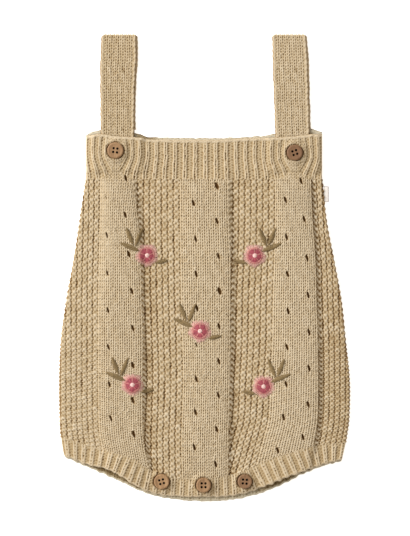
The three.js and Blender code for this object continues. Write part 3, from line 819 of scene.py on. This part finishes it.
def front_top_relief(x, y, edge_y):
    """Height of the front band's stitches up to the edge at edge_y, and how far its ribs rise."""
    from_x, filled = parted_round_buttons(x, y)
    pairs = pairs_at(from_x)
    off = edge_y - y
    rows = FRONT_TOP_ROWS * (y - TOP_SEAM_Y) / (edge_y - TOP_SEAM_Y)
    ribbed = rib(pairs, rows, 8.9 - 0.6 * np.abs(x) / 100)
    plain = plain_knit(10 * line_at(x, np.full(x.shape, TOP_SEAM_Y)) + 0.5, y / ROW, 3.0, ROW)
    relief = lerp(ribbed, plain, filled)
    chain = edge_chain(x / FRONT_TOP_LINK, 1.4 * off, FRONT_TOP_LINK)
    relief = lerp(relief, np.maximum(1.4 * chain - 0.25, relief - 0.5), smooth(3.2, 2.3, off))
    # Painted shade: the narrow gap round each button is painted dark brown, beyond its real dent.
    relief = lerp(relief, np.minimum(relief, BUTTON_GAP), round_buttons(x, y))
    # Painted shade: the eyelets are painted darker than any dent, for the shade seen through them.
    relief = lerp(relief, HOLE_DEPTH, pulled_round(x, y)[2])
    rising = swell(pairs, smooth(75.0, 79.0, y) * smooth(1.0, 3.5, off) * (1 - filled))
    return relief, rising


def top_band_grid(top, columns, rows, waver):
    """Grid of points from the body up to a wavering bound-off edge, with the height of that edge
    and half the cloth's thickness."""
    left, right = BAND_SIDES
    x = np.linspace(left, right, columns + 1)[None, :] + np.zeros((rows + 1, 1))
    edge_y = curve_through(*zip(*top))(x) + waver(x)
    y = lerp(TOP_SEAM_Y, edge_y, np.linspace(0, 1, rows + 1)[:, None])
    side = np.minimum(x - left, right - x)
    return x, y, edge_y, eased_edge(np.minimum(side, edge_y - y), WALL)


x, y, edge_y, half = top_band_grid(FRONT_TOP, columns=400, rows=60, waver=wander(1, 3.4, 0.3))
relief, rising = front_top_relief(x, y, edge_y)
off = edge_y - y
level = FRONT_LEVEL + front_top_lift(x, y) + HALF_WALL + collars(x, y) * smooth(0.0, 3.0, off)
outer, inner = front_wall(x, y, level, half, relief, rising)
# Painted light and shade: the ribs' raised plain stitches are painted lighter and the sunk purl ones
# darker.
front_top = cloth(
    "front_rib_band", outer, inner, relief + 0.22 * rising, step=2, soft_sides=("left", "right", "far")
)
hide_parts("front_top_band")

# ---- The back top band --------------------------------------------------------------------------
# The same rib on the back, flat on the surface. Its edge shows just above the front's, where the
# straps are knitted on.
BACK_TOP = [
    (-100, 112.6), (-89, 116.9), (-74, 116.5), (-59, 114.5), (-48, 111.2), (0, 110), (48, 111.6),
    (60, 114), (75, 117.4), (89, 117.6), (99.4, 115),
]
BACK_TOP_COLUMNS, BACK_TOP_ROWS, BACK_TOP_LINK = 280, 44, 4.5


def back_wall(x, y, half, relief, rising):
    """The upper and under faces of a band of the back, each dented between its stitches."""
    sunk = np.clip(0.9 - relief - rising, 0, 1.6) * np.clip(half / HALF_WALL, 0, 1)
    upper = np.stack([x, y, HALF_WALL + half - 0.3 * sunk], -1)
    under = np.stack([x, y, HALF_WALL - half + 0.5 * sunk], -1)
    return upper, under


x, y, edge_y, half = top_band_grid(BACK_TOP, BACK_TOP_COLUMNS, BACK_TOP_ROWS, wander(2, 3.1, 0.4))
off = edge_y - y
relief = rib(pairs_at(x), y / RIB_ROW, 8.6)
relief = lerp(relief, edge_chain(x / BACK_TOP_LINK, off, BACK_TOP_LINK), smooth(4.6, 3.8, off))
rising = swell(pairs_at(x), smooth(1.5, 5.0, off))
upper, under = back_wall(x, y, half, relief, rising)
# Its edge is pale, and painted shade darkens it where it dips beside the left strap.
shown = relief + 0.1 * smooth(2.2, 0.4, off) - 0.7 * smooth(-62, -54, x) * smooth(-36, -46, x)
back_top = cloth("back_rib_band", upper, under, shown, step=1, soft_sides=("left", "right", "far"))
show_inside_shaded(back_top, BACK_TOP_COLUMNS * BACK_TOP_ROWS)
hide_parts("back_top_band")

# ---- The leg and crotch bands -------------------------------------------------------------------
# The same rib in one strip along both leg edges and the crotch flap, 7.4 mm a pair, picked up from
# the body's edge and bound off. The back's reaches lower, and the front's stands off at the legs.
RIB_PAIR = 7.4
HEM_LINK = 3.7
FLAP_X = -0.8  # the crotch flap's middle


def hem_band(hem, lines, rows, scallop):
    """Grid of points from the free edge to the body; for each, its share of the way up, its place
    along the band from the flap's middle, its distance in from the edge and half the thickness."""
    seam = seam_y(lines, hem)
    seam_x = line_x(lines, seam)
    _, edge_x_at, edge_y_at = hem_curves(hem)
    edge_x, edge_y = edge_x_at(seam_x), edge_y_at(seam_x)
    middle_x, middle_y = 0.5 * (edge_x + seam_x)[0], 0.5 * (edge_y + seam)[0]
    run = np.concatenate([[0], np.cumsum(np.hypot(np.diff(middle_x), np.diff(middle_y)))])
    run = (run - np.interp(FLAP_X, middle_x, run))[None, :]
    # The plain stitches reach a little further than the purl ones between them.
    reach = 1 + scallop * np.cos(2 * np.pi * (run / RIB_PAIR + 0.5)) + wander(rows, 2.6, 0.022)(run)
    edge_x, edge_y = seam_x + reach * (edge_x - seam_x), seam + reach * (edge_y - seam)
    up = np.linspace(0, 1, rows + 1)[:, None]
    x, y = lerp(edge_x, seam_x, up), lerp(edge_y, seam, up)
    off = up * np.hypot(seam_x - edge_x, seam - edge_y)
    side = np.minimum(x - x[:, :1], x[:, -1:] - x)
    return x, y, up + 0 * x, run + 0 * x, off, eased_edge(np.minimum(off, side), WALL)


def hem_relief(run, off, up):
    """Height of a leg band's stitches, and how far its ribs rise, less on the flap."""
    pairs = run / RIB_PAIR + 0.5
    ribbed = rib(pairs, off / RIB_ROW, RIB_PAIR, full=1.25)
    chain = edge_chain(run / HEM_LINK, off + 1.6, HEM_LINK)
    relief = lerp(ribbed, np.maximum(chain - 0.15, ribbed - 0.2), smooth(2.0, 1.0, off))
    flap = smooth(48.0, 36.0, np.abs(run - FLAP_X))
    return relief, swell(pairs, smooth(-0.5, 2.5, off) * smooth(1.0, 0.7, up) * (1 - 0.4 * flap))


def front_hem_lift(x, y, up):
    """How far the front's band stands off the back's: more at the legs, and not at all where it is
    buttoned down at the flap."""
    at_leg = smooth(44.0, 62.0, np.abs(x)) * smooth(106.0, 88.0, np.abs(x))
    at_flap = smooth(50.0, 38.0, np.abs(x)) * (1 - up)
    return front_lift(line_at(x, y), x, y) * (1 - at_flap) + 1.6 * at_leg * (1 - up)


x, y, up, run, off, half = hem_band(FRONT_HEM, column_lines, rows=32, scallop=0.018)
relief, rising = hem_relief(run, off, up)
# Painted shade: the narrow gap round each button is painted dark brown, beyond its real dent.
relief = lerp(relief, np.minimum(relief, BUTTON_GAP), round_buttons(x, y))
level = FRONT_LEVEL + front_hem_lift(x, y, up) + HALF_WALL + collars(x, y) * smooth(0.0, 3.0, off)
outer, inner = front_wall(x, y, level, half, relief, rising)
# Painted light and shade: the ribs' raised plain stitches are painted lighter and the sunk purl ones
# darker.
shown = relief + 0.6 * rising - 0.04
front_hem = cloth("front_leg_band", outer, inner, shown, step=2, soft_sides=("left", "right", "near"))
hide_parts("front_hem_band")

BACK_HEM_COLUMNS, BACK_HEM_ROWS = 280, 30
lines = np.linspace(0, LAST_LINE, BACK_HEM_COLUMNS + 1)[None, :]
x, y, up, run, off, half = hem_band(BACK_HEM, lines, BACK_HEM_ROWS, scallop=0.01)
relief, rising = hem_relief(run, off, up)
upper, under = back_wall(x, y, half, relief, rising)
# Painted shade darkens it inside the leg openings; painted light gives it a pale edge away from the
# flap, and makes it paler on the flap, where the front's edge shades it.
at_leg = smooth(42.0, 60.0, np.abs(x)) * smooth(112.0, 98.0, np.abs(x)) * smooth(0.5, 3.5, off)
edge_light = smooth(1.8, 0.4, off) * smooth(38.0, 50.0, np.abs(x))
at_flap = smooth(50.0, 38.0, np.abs(x))
shown = relief - 0.45 * at_leg + 0.25 * at_flap - 0.1 + 0.5 * edge_light
back_hem = cloth("back_leg_band", upper, under, shown, step=1, soft_sides=("left", "right", "near"))
show_inside_shaded(back_hem, BACK_HEM_COLUMNS * BACK_HEM_ROWS)
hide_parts("back_hem_band")

# ---- The straps ---------------------------------------------------------------------------------
# Two plain-knit strips, eight stitches wide, with a chain of long stitches down each side. Each
# starts behind the front band, folds over at the top and lies on itself down to the back band.
STRAP_SLIT = 0.5  # the gap inside the fold
STRAP_TOP_Y = 197.6
STRAP_SHIFT = 1.0  # how far to the right the lower half lies
STRAP_WALES, STRAP_LINK = 8, 4.9
STRAP_COLUMNS, STRAP_ROWS = 54, 330
middle_radius = (STRAP_WALL + STRAP_SLIT) / 2
fold_y = STRAP_TOP_Y - middle_radius - STRAP_WALL / 2


def strap_strip(side):
    """A strap's wall of cloth, swept from its lower end up, round the fold and down the back."""
    near, far = strap_sides(side)
    centre = float(near(115.0) + far(115.0)) / 2
    end_y = float(curve_through(*zip(*BACK_TOP))(centre)) + 0.5
    first, bend, last = fold_y - STRAP_END_Y, math.pi * middle_radius, fold_y - end_y
    along = np.linspace(0, first + bend + last, STRAP_ROWS + 1)[:, None]
    turn = np.clip((along - first) / middle_radius, 0, math.pi)
    y = np.where(along < first, STRAP_END_Y + along, fold_y + middle_radius * np.sin(turn))
    y = np.where(along > first + bend, fold_y - (along - first - bend), y)
    z = STRAP_WALL / 2 + middle_radius * (1 + np.cos(turn))
    share = np.linspace(0, 1, STRAP_COLUMNS + 1)[None, :]
    wobble = 0.14 * np.cos(2 * np.pi * along / STRAP_LINK) - 1.5 * np.sin(turn) ** 5
    uneven = wander(3, 9.0, 0.3)(along + (100 if side == "left" else 0))
    x = lerp(near(y) - wobble, far(y) + wobble, share) + uneven + STRAP_SHIFT * turn / math.pi
    width = far(y) - near(y)
    off = np.minimum(share, 1 - share) * width
    wales, rows = STRAP_WALES * share - 0.5 + 0 * along, along / RIB_ROW + 0 * share
    relief = plain_knit(wales, rows, width / STRAP_WALES, RIB_ROW) + 0.06
    links = along / STRAP_LINK + 0 * share
    chain = yarn(
        (links - np.round(links)) * STRAP_LINK, off, (-2.4, 1.9), (2.4, 1.1),
        lambda p: 0.25 + 0.3 * np.sin(np.pi * p), 1.1,
    )
    relief = np.where(off < 3.2, np.maximum(chain, relief - 0.2), relief)
    half = eased_edge(off, STRAP_WALL)
    free = smooth(106.0, 114.0, y) * np.clip(half, 0, 1)
    proud = np.where(turn > 2.8, np.clip(relief - 0.6, -1.2, 0), np.maximum(relief, -1.4)) * free
    normal = np.stack([0 * x, np.sin(turn) + 0 * x, np.cos(turn) + 0 * x], -1)
    middle = np.stack([x, y + 0 * x, z + 0 * x], -1)
    outer = middle + normal * (half + proud)[..., None]
    inner = middle - normal * half[..., None]
    # The left strap is a little darker all over; painted shade darkens both straps along their rounded
    # edges.
    shown = relief - (0.1 if side == "left" else 0.0) - 0.5 * smooth(1.3, 0.2, off)
    return cloth(f"strap_knit_{side}", outer, inner, shown, step=2, soft_sides=("left", "right"))


for side in STRAPS:
    strip = strap_strip(side)
    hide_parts(f"strap_{side}")

# ---- The buttons --------------------------------------------------------------------------------
# Turned wooden discs, 12 to 14 mm across, with a rounded rim, a shallow dish and four thread holes.
# Two hold the strap ends through the front band and three close the crotch flap.
BUTTON_LOOKS = {  # turn in radians, and how dark the stain is, from 0 to 1
    "button_strap_left": (-0.12, 0.3),
    "button_strap_right": (0.32, 1.0),
    "button_crotch_left": (0.26, 0.0),
    "button_crotch_center": (0.0, 0.3),
    "button_crotch_right": (-0.07, 0.8),
}


def wood_tree(tree):
    """Pale hardwood, stained light brown and waxed: satin, with fine straight grain and pores."""
    place = add(tree, "ShaderNodeAttribute", {"attribute_name": "grain_place"}, {}).outputs["Vector"]
    tone = add(tree, "ShaderNodeAttribute", {"attribute_name": "tone"}, {}).outputs["Fac"]
    # Growth rings about 1.5 mm apart, drawn out along the grain, and pores 0.2 mm wide.
    drawn = add(tree, "ShaderNodeMapping", {}, {"Vector": place, "Scale": (1.0, 0.09, 1.0)}).outputs[0]
    rings = add(
        tree, "ShaderNodeTexNoise", {}, {"Vector": drawn, "Scale": 650.0, "Detail": 4.0}
    ).outputs["Fac"]
    pores = add(
        tree, "ShaderNodeTexNoise", {}, {"Vector": drawn, "Scale": 3500.0, "Detail": 2.0}
    ).outputs["Fac"]
    ramp = add(tree, "ShaderNodeValToRGB", {}, {"Fac": rings})
    for stop, (at, colour) in zip(ramp.color_ramp.elements, ((0.32, "#8f6d4b"), (0.7, "#b08d66"))):
        stop.position = at
        stop.color = linear(colour)
    browner = add(
        tree, "ShaderNodeMix", {"data_type": "RGBA"},
        {0: tone, 6: ramp.outputs["Color"], 7: linear("#6d4b35")},
    ).outputs[2]
    specks = add(
        tree, "ShaderNodeMapRange", {}, {"Value": pores, "From Min": 0.36, "From Max": 0.5,
                                         "To Min": 0.8, "To Max": 1.0}
    ).outputs[0]
    colour = add(
        tree, "ShaderNodeVectorMath", {"operation": "SCALE"}, {0: browner, "Scale": specks}
    ).outputs[0]
    grooves = add(
        tree, "ShaderNodeBump", {}, {"Height": pores, "Strength": 0.25, "Distance": 0.0001}
    ).outputs[0]
    return add(
        tree, "ShaderNodeBsdfPrincipled", {}, {
            "Base Color": colour, "Roughness": 0.58, "Normal": grooves, "Specular IOR Level": 0.35,
        }
    )


wood = finish_of("waxed_wood", wood_tree)
# The bare wood in the thread holes, black with shade.
bored_wood = finish_of(
    "bored_wood",
    lambda tree: add(
        tree, "ShaderNodeBsdfPrincipled", {}, {
            "Base Color": linear("#120502"), "Roughness": 0.9, "Specular IOR Level": 0.0,
        }
    ),
)
RIM_RADIUS = 7.5
RIM = [  # radius and height up the turned profile of a button of that radius
    (0.0, 0.0), (6.9, 0.0), (7.25, 0.2), (7.45, 0.6), (7.5, 1.2), (7.47, 1.9), (7.35, 2.3), (7.1, 2.6),
    (6.75, 2.76), (6.3, 2.8), (5.7, 2.78), (5.3, 2.72), (4.9, 2.64), (4.5, 2.6), (3.0, 2.56),
    (0.0, 2.55),
]
DRILL = [(0.9, 0.4), (0.92, 2.2), (1.02, 2.5), (1.9, 4.0)]  # the same, of a thread hole
HOLE_OFF = 1.6
DISC_SIDES, DRILL_SIDES = 72, 20


def ring(x, y, r, z, sides):
    """Points round a circle at (x, y), of radius r, at height z."""
    angles = [2 * math.pi * k / sides for k in range(sides)]
    return [(x + r * math.cos(angle), y + r * math.sin(angle), z) for angle in angles]


def turned_disc(radius):
    """Points and faces of a button that isn't drilled yet, closed in the middle of both sides."""
    points = [(0.0, 0.0, RIM[0][1])]
    for r, z in RIM[1:-1]:
        points += ring(0.0, 0.0, r * radius / RIM_RADIUS, z, DISC_SIDES)
    points.append((0.0, 0.0, RIM[-1][1]))
    faces = []
    last = 1 + (len(RIM) - 3) * DISC_SIDES
    for k in range(DISC_SIDES):
        after = (k + 1) % DISC_SIDES
        faces.append((0, 1 + after, 1 + k))
        for a in range(1, last, DISC_SIDES):
            b = a + DISC_SIDES
            faces.append((a + k, a + after, b + after, b + k))
        faces.append((last + k, last + after, len(points) - 1))
    return points, faces


def four_drills():
    """Points and faces of what the four thread holes take away, wider where they come out."""
    points, faces = [], []
    for hand_x, hand_y in ((-1, -1), (1, -1), (1, 1), (-1, 1)):
        first = len(points)
        for r, z in DRILL:
            points += ring(hand_x * HOLE_OFF, hand_y * HOLE_OFF, r, z, DRILL_SIDES)
        last = len(points) - DRILL_SIDES
        faces.append([first + k for k in reversed(range(DRILL_SIDES))])
        faces.append([last + k for k in range(DRILL_SIDES)])
        for a in range(first, last, DRILL_SIDES):
            b = a + DRILL_SIDES
            after = [(k + 1) % DRILL_SIDES for k in range(DRILL_SIDES)]
            faces += [(a + k, a + after[k], b + after[k], b + k) for k in range(DRILL_SIDES)]
    return points, faces


def worked(rough):
    """The plain mesh that a rough piece's modifier makes of it; the rough piece is removed."""
    mesh = bpy.data.meshes.new_from_object(rough.evaluated_get(bpy.context.evaluated_depsgraph_get()))
    bpy.data.objects.remove(rough)
    return mesh


for name, (turn, stain) in BUTTON_LOOKS.items():
    at_x, at_y, radius = BUTTON_PLACES[name]
    base_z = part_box(name)[0][2]
    points, faces = turned_disc(radius)
    disc = bpy.data.meshes.new(name)
    disc.from_pydata(points, [], faces)
    blank = set_out(name + "_disc", disc)
    points, faces = four_drills()
    drills = bpy.data.meshes.new("drills")
    drills.from_pydata(points, [], faces)
    drill = set_out("drills", drills)
    cut = blank.modifiers.new("holes", "BOOLEAN")
    cut.operation = "DIFFERENCE"
    cut.object = drill
    cut.solver = "EXACT"
    bored = worked(blank)
    bpy.data.objects.remove(drill)
    count = len(bored.vertices)
    places = np.zeros(3 * count)
    bored.vertices.foreach_get("co", places)
    places = places.reshape(-1, 3)
    # Each button is cut from another part of the plank.
    plank = np.array([at_x * 0.37, at_y * 0.53, 0.0])
    mark(bored, "grain_place", "FLOAT_VECTOR", (places + plank) * MM)
    mark(bored, "tone", "FLOAT", np.full(count, 0.7 * stain))
    spin = np.array([[math.cos(turn), -math.sin(turn)], [math.sin(turn), math.cos(turn)]])
    places[:, :2] = places[:, :2] @ spin.T + (at_x, at_y)
    places *= MM
    places[:, 2] += base_z
    bored.vertices.foreach_set("co", places.reshape(-1))
    bored.polygons.foreach_set("use_smooth", np.ones(len(bored.polygons), bool))
    bored.set_sharp_from_angle(angle=math.radians(40))
    button = set_out(name + "_wood", bored)
    button.data.materials.clear()
    button.data.materials.append(wood)
    button.data.materials.append(bored_wood)
    # The faces inside the holes: within 3.5 mm of the middle, and below the dish.
    in_holes = [
        max(abs(face.center.x - at_x * MM), abs(face.center.y - at_y * MM)) < 0.0035
        and 0.0003 < face.center.z - base_z < 0.00245
        for face in bored.polygons
    ]
    bored.polygons.foreach_set("material_index", np.array(in_holes, int))
    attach(button, "root")
    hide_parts(name)

# ---- The embroidery -----------------------------------------------------------------------------
# Five flower sprigs in stranded cotton, sewn through the front: satin-stitch leaves in olive,
# petals in two rows of straight stitches, deep rose inside pale pink, and a knot in each.
FLOWER_RADIUS = 9.3
PETALS = 5
SPRIGS = [  # x, y, and 1 for leaves on the left or -1 on the right
    (-48.6, 10.7, 1), (42.4, 10.4, -1), (-3.8, -53.2, 1), (-60.8, -98.5, 1), (49.9, -100.0, -1),
]
LEAVES = [  # root and tip from the flower's middle, and the leaf's width
    ((-12.1, 9.6), (-17.3, 23.0), 3.4), ((-9.6, 8.4), (-3.9, 22.6), 3.1),
    ((-6.8, 3.9), (-22.2, 10.4), 3.7), ((7.6, -6.2), (17.2, -4.2), 3.1),
]
THREADS = {
    "olive": "#7f6a46", "rose": "#a04a55", "pink": "#bc7e77", "blush": "#cfa497", "knot": "#e6c3bc",
}


def thread_tree(tree):
    """Mercerised stranded cotton: smooth parallel strands with a soft silky shine."""
    dye = add(tree, "ShaderNodeAttribute", {"attribute_name": "dye"}, {}).outputs["Color"]
    place = add(tree, "ShaderNodeTexCoord", {}, {}).outputs["Object"]
    # Strands, 0.3 mm apart.
    strands = add(
        tree, "ShaderNodeTexNoise", {}, {"Vector": place, "Scale": 3200.0, "Detail": 2.0}
    ).outputs["Fac"]
    lights = add(
        tree, "ShaderNodeMapRange", {}, {"Value": strands, "From Min": 0.3, "From Max": 0.7,
                                         "To Min": 0.82, "To Max": 1.12}
    ).outputs[0]
    colour = add(tree, "ShaderNodeVectorMath", {"operation": "SCALE"}, {0: dye, "Scale": lights}).outputs[0]
    fine = add(
        tree, "ShaderNodeBump", {}, {"Height": strands, "Strength": 0.3, "Distance": 0.0002}
    ).outputs[0]
    return add(
        tree, "ShaderNodeBsdfPrincipled", {}, {
            "Base Color": colour, "Roughness": 0.62, "Normal": fine, "Specular IOR Level": 0.3,
            "Sheen Weight": 0.2, "Sheen Roughness": 0.4,
        }
    )


stranded = finish_of("stranded_cotton", thread_tree)


def front_height(x, y):
    """Top of the front's stitches at (x, y)."""
    return float(FRONT_LEVEL + front_lift(line_at(x, y), x, y) + WALL + 0.55)


def stitch_tree():
    """Lays one arched, tapering thread on each point, turned and sized by the point's attributes."""
    tree = bpy.data.node_groups.new("sewn stitches", "GeometryNodeTree")
    for name, kind, way in (
        ("Points", "NodeSocketGeometry", "INPUT"), ("Arch", "NodeSocketFloat", "INPUT"),
        ("Thread", "NodeSocketMaterial", "INPUT"), ("Stitches", "NodeSocketGeometry", "OUTPUT"),
    ):
        tree.interface.new_socket(name, in_out=way, socket_type=kind)
    given = add(tree, "NodeGroupInput", {}, {})
    middle = add(tree, "ShaderNodeCombineXYZ", {}, {"Z": given.outputs["Arch"]}).outputs[0]
    arc = add(tree, "GeometryNodeCurveQuadraticBezier", {}, {
        "Resolution": 4, "Start": (-0.5, 0, 0), "Middle": middle, "End": (0.5, 0, 0),
    }).outputs[0]
    share = add(tree, "GeometryNodeSplineParameter", {}, {}).outputs["Factor"]
    taper = add(tree, "ShaderNodeFloatCurve", {}, {"Value": share}).outputs[0]
    curve = taper.node.mapping.curves[0]
    curve.points[0].location = (0.0, 0.55)
    curve.points[1].location = (1.0, 0.55)
    for at in (0.25, 0.75):
        curve.points.new(at, 1.0)
    section = add(tree, "GeometryNodeCurvePrimitiveCircle", {}, {"Resolution": 5, "Radius": 0.5}).outputs[0]
    thread = add(tree, "GeometryNodeCurveToMesh", {}, {
        "Curve": arc, "Profile Curve": section, "Scale": taper, "Fill Caps": True,
    }).outputs[0]
    turn = add(tree, "GeometryNodeInputNamedAttribute", {"data_type": "FLOAT_VECTOR"}, {"Name": "turn"})
    size = add(tree, "GeometryNodeInputNamedAttribute", {"data_type": "FLOAT_VECTOR"}, {"Name": "size"})
    spin = add(tree, "FunctionNodeEulerToRotation", {}, {0: turn.outputs["Attribute"]})
    laid = add(tree, "GeometryNodeInstanceOnPoints", {}, {
        "Points": given.outputs["Points"], "Instance": thread,
        "Rotation": spin.outputs[0], "Scale": size.outputs["Attribute"],
    }).outputs[0]
    real = add(tree, "GeometryNodeRealizeInstances", {}, {"Geometry": laid}).outputs[0]
    smoothed = add(tree, "GeometryNodeSetShadeSmooth", {}, {"Geometry": real}).outputs[0]
    done = add(tree, "GeometryNodeSetMaterial", {}, {
        "Geometry": smoothed, "Material": given.outputs["Thread"],
    }).outputs[0]
    add(tree, "NodeGroupOutput", {}, {"Stitches": done})
    return tree


sewn_stitches = stitch_tree()


def stitched(name, stitches, arch, material):
    """One piece of many stitches, each given as (start, end, thickness, colour)."""
    mesh = bpy.data.meshes.new(name + "_points")
    starts, ends = np.array([s[0] for s in stitches]), np.array([s[1] for s in stitches])
    run = ends - starts
    length = np.linalg.norm(run, axis=1)
    thick = np.array([s[2] for s in stitches])
    mesh.from_pydata((starts + ends) / 2 * MM, [], [])
    pitch = -np.arcsin(run[:, 2] / length)
    heading = np.arctan2(run[:, 1], run[:, 0])
    mark(mesh, "turn", "FLOAT_VECTOR", np.stack([0 * pitch, pitch, heading], -1))
    mark(mesh, "size", "FLOAT_VECTOR", np.stack([length, thick, thick], -1) * MM)
    mark(mesh, "dye", "FLOAT_COLOR", np.array([s[3] for s in stitches]))
    points = set_out(name + "_points", mesh)
    sewing = points.modifiers.new("sewing", "NODES")
    sewing.node_group = sewn_stitches
    sockets = {item.name: item.identifier for item in sewn_stitches.interface.items_tree}
    sewing[sockets["Arch"]] = arch
    sewing[sockets["Thread"]] = material
    return set_out(name, worked(points))


needle = np.random.default_rng(5)


def shade_of(colour, spread):
    """The thread's colour, a little lighter or darker from stitch to stitch."""
    tint = np.array(linear(THREADS[colour]))
    tint[:3] *= 1 + spread * needle.uniform(-1, 1)
    return tint.clip(0, 1)


def sprig(centre_x, centre_y, way):
    """All the stitches of one flower and its leaves; way is -1 for a mirrored one."""
    stitches = []

    def sew(a, b, lift, colour, spread, thick):
        """One stitch from a to b, its ends raised by lift, with a shade that varies by spread."""
        start = (centre_x + way * a[0], centre_y + a[1])
        end = (centre_x + way * b[0], centre_y + b[1])
        stitches.append((
            (*start, front_height(*start) + lift[0]), (*end, front_height(*end) + lift[1]),
            thick * needle.uniform(0.85, 1.15), shade_of(colour, spread),
        ))

    # Leaves: two rows of slanting stitches, from the rib out to the edges, 0.5 mm apart.
    for root, tip, width in LEAVES:
        root, tip = np.array(root), np.array(tip)
        run = tip - root
        length = np.linalg.norm(run)
        forward = run / length
        beside = np.array((-forward[1], forward[0]))
        for k in range(int(length / 0.5)):
            share = k * 0.5 / length
            wide = 0.5 * width * max(math.sin(math.pi * min(share**0.8 * 0.9 + 0.08, 1)), 0.0) ** 0.85
            for hand in (-1, 1):
                from_rib = root + forward * (share * length - 0.6) - beside * hand * 0.15
                to_edge = root + forward * (share * length + 0.9) + beside * hand * wide
                sew(from_rib, to_edge, (0.25, -0.25), "olive", spread=0.22, thick=0.68)
    # The petals' pale outer part: two rounds of straight stitches, the outer ones paler.
    count = 110
    for k in range(count):
        angle = 2 * math.pi * (k + needle.uniform(-0.4, 0.4)) / count
        outward = np.array((math.cos(angle), math.sin(angle)))
        lobe = 1 + 0.06 * math.cos(PETALS * (angle - math.pi / 2) + math.pi)
        reach = FLOWER_RADIUS * (1 - 0.2 * needle.uniform(0, 1) ** 2) * lobe
        middle = needle.uniform(6.6, 7.2)
        inner = needle.uniform(4.9, 5.5)
        sew(outward * inner, outward * middle, (0.3, 0.1), "pink", spread=0.1, thick=0.66)
        inner, outer = middle - 0.6, reach + 0.3
        sew(outward * inner, outward * outer, (0.1, -0.45), "blush", spread=0.1, thick=0.56)
    # Their deep rose inner part, with a pink parting, some degrees wide, between each two petals.
    parting = needle.uniform(0.7, 1.6, PETALS) * 6
    parting[0] = 12
    petal_angle = 360 / PETALS
    count = 96
    for k in range(count):
        angle = 2 * math.pi * (k + needle.uniform(-0.3, 0.3)) / count
        petal = (math.degrees(angle) - 90) / petal_angle
        from_gap = abs(petal - round(petal)) * petal_angle
        outward = np.array((math.cos(angle), math.sin(angle)))
        pale = from_gap < 0.5 * parting[round(petal) % PETALS]
        bow = math.cos(math.pi * min(from_gap / (petal_angle / 2), 1))
        reach = (5.4 - 0.3 * bow) * needle.uniform(0.88, 1.08)
        colour = "pink" if pale else "rose"
        sew(outward * 1.2, outward * reach, (0.9, 0.5), colour, spread=0.25, thick=0.55)
    # The knot in the middle: short stitches, each turned on from the last, highest in the middle.
    count = 26
    for k in range(count):
        angle = 2.4 * k
        r = 1.75 * math.sqrt((k + 0.5) / count)
        middle = np.array((math.cos(angle), math.sin(angle))) * r
        along = np.array((-math.sin(angle), math.cos(angle))) * 0.9
        rise = 1.35 - 0.22 * r**2
        sew(middle - along, middle + along, (rise, rise), "knot", spread=0.05, thick=0.75)
    return stitches


for number, (at_x, at_y, way) in enumerate(SPRIGS):
    flower = stitched(f"sprig_{number + 1}", sprig(at_x, at_y, way), arch=0.5, material=stranded)
    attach(flower, "root")

# ---- The side label -----------------------------------------------------------------------------
# A bare off-white woven ribbon, folded double with both its ends sewn into the right side seam.
# It carries nothing but a woven border, and painted shade along its fold.
def ribbon_tree(tree):
    """Polyester satin ribbon: smooth and off-white, with fine crosswise threads, 0.4 mm apart."""
    place = add(tree, "ShaderNodeTexCoord", {}, {}).outputs["Object"]
    threads = add(tree, "ShaderNodeTexWave", {"bands_direction": "Y"}, {
        "Vector": place, "Scale": 400.0, "Distortion": 0.4, "Detail": 1.0,
    }).outputs["Fac"]
    ramp = add(tree, "ShaderNodeValToRGB", {}, {"Fac": threads})
    for stop, (at, colour) in zip(ramp.color_ramp.elements, ((0.0, "#e4dcd4"), (1.0, "#f8f5f1"))):
        stop.position = at
        stop.color = linear(colour)
    # The relief attribute holds the darker band: woven along the long edges, painted shade at the fold.
    border = add(tree, "ShaderNodeAttribute", {"attribute_name": "relief"}, {}).outputs["Fac"]
    bordered_and_fold_shaded = add(
        tree, "ShaderNodeMix", {"data_type": "RGBA"},
        {0: border, 6: ramp.outputs["Color"], 7: linear("#8f8389")},
    ).outputs[2]
    fine = add(
        tree, "ShaderNodeBump", {}, {"Height": threads, "Strength": 0.4, "Distance": 0.0001}
    ).outputs[0]
    return add(
        tree, "ShaderNodeBsdfPrincipled", {}, {
            "Base Color": bordered_and_fold_shaded, "Roughness": 0.5, "Normal": fine,
        }
    )


ribbon = finish_of("woven_ribbon", ribbon_tree)
low, high = (np.array(corner) * 1000 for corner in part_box("side_label"))
RIBBON = 0.5  # thickness
loop = 0.5 * (high[2] - low[2]) - RIBBON / 2
middle_z = 0.5 * (high[2] + low[2])
fold_x = high[0] - RIBBON / 2 - loop
path = [(low[0], middle_z + loop), (lerp(low[0], fold_x, 0.5), middle_z + loop + 0.1)]
path += [
    (fold_x + loop * math.sin(a), middle_z + loop * math.cos(a)) for a in np.linspace(0, math.pi, 13)
]
path += [(lerp(low[0], fold_x, 0.5), middle_z - loop - 0.1), (low[0], middle_z - loop)]
path = np.array(path)
tangent = np.gradient(path, axis=0)
tangent /= np.linalg.norm(tangent, axis=1)[:, None]
face_normal = np.stack([-tangent[:, 1], tangent[:, 0]], -1)
across = np.linspace(high[1], low[1], 15)


def ribbon_face(offset):
    """One face of the folded ribbon, a little thinner along its long edges."""
    edge = np.minimum(across[0] - across, across - across[-1])
    thin = np.where(edge < 0.05, 0.6, 1.0)
    places = path[:, None, :] + face_normal[:, None, :] * (offset * thin)[None, :, None]
    y = np.broadcast_to(across, places.shape[:2])
    return np.stack([places[..., 0], y, places[..., 1]], -1)


outside, inside = ribbon_face(RIBBON / 2), ribbon_face(-RIBBON / 2)
# A darker band runs along its long edges, woven in, and along its fold, where it is painted shade.
rim = np.minimum(outside[..., 1] - low[1], high[1] - outside[..., 1])
rim = np.minimum(rim, high[0] - outside[..., 0])
border = 0.75 * smooth(0.9, 0.2, rim)
label = cloth("side_label_ribbon", outside, inside, border, step=1, soft_sides=())
label.data.materials.clear()
label.data.materials.append(ribbon)
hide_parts("side_label")

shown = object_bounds()
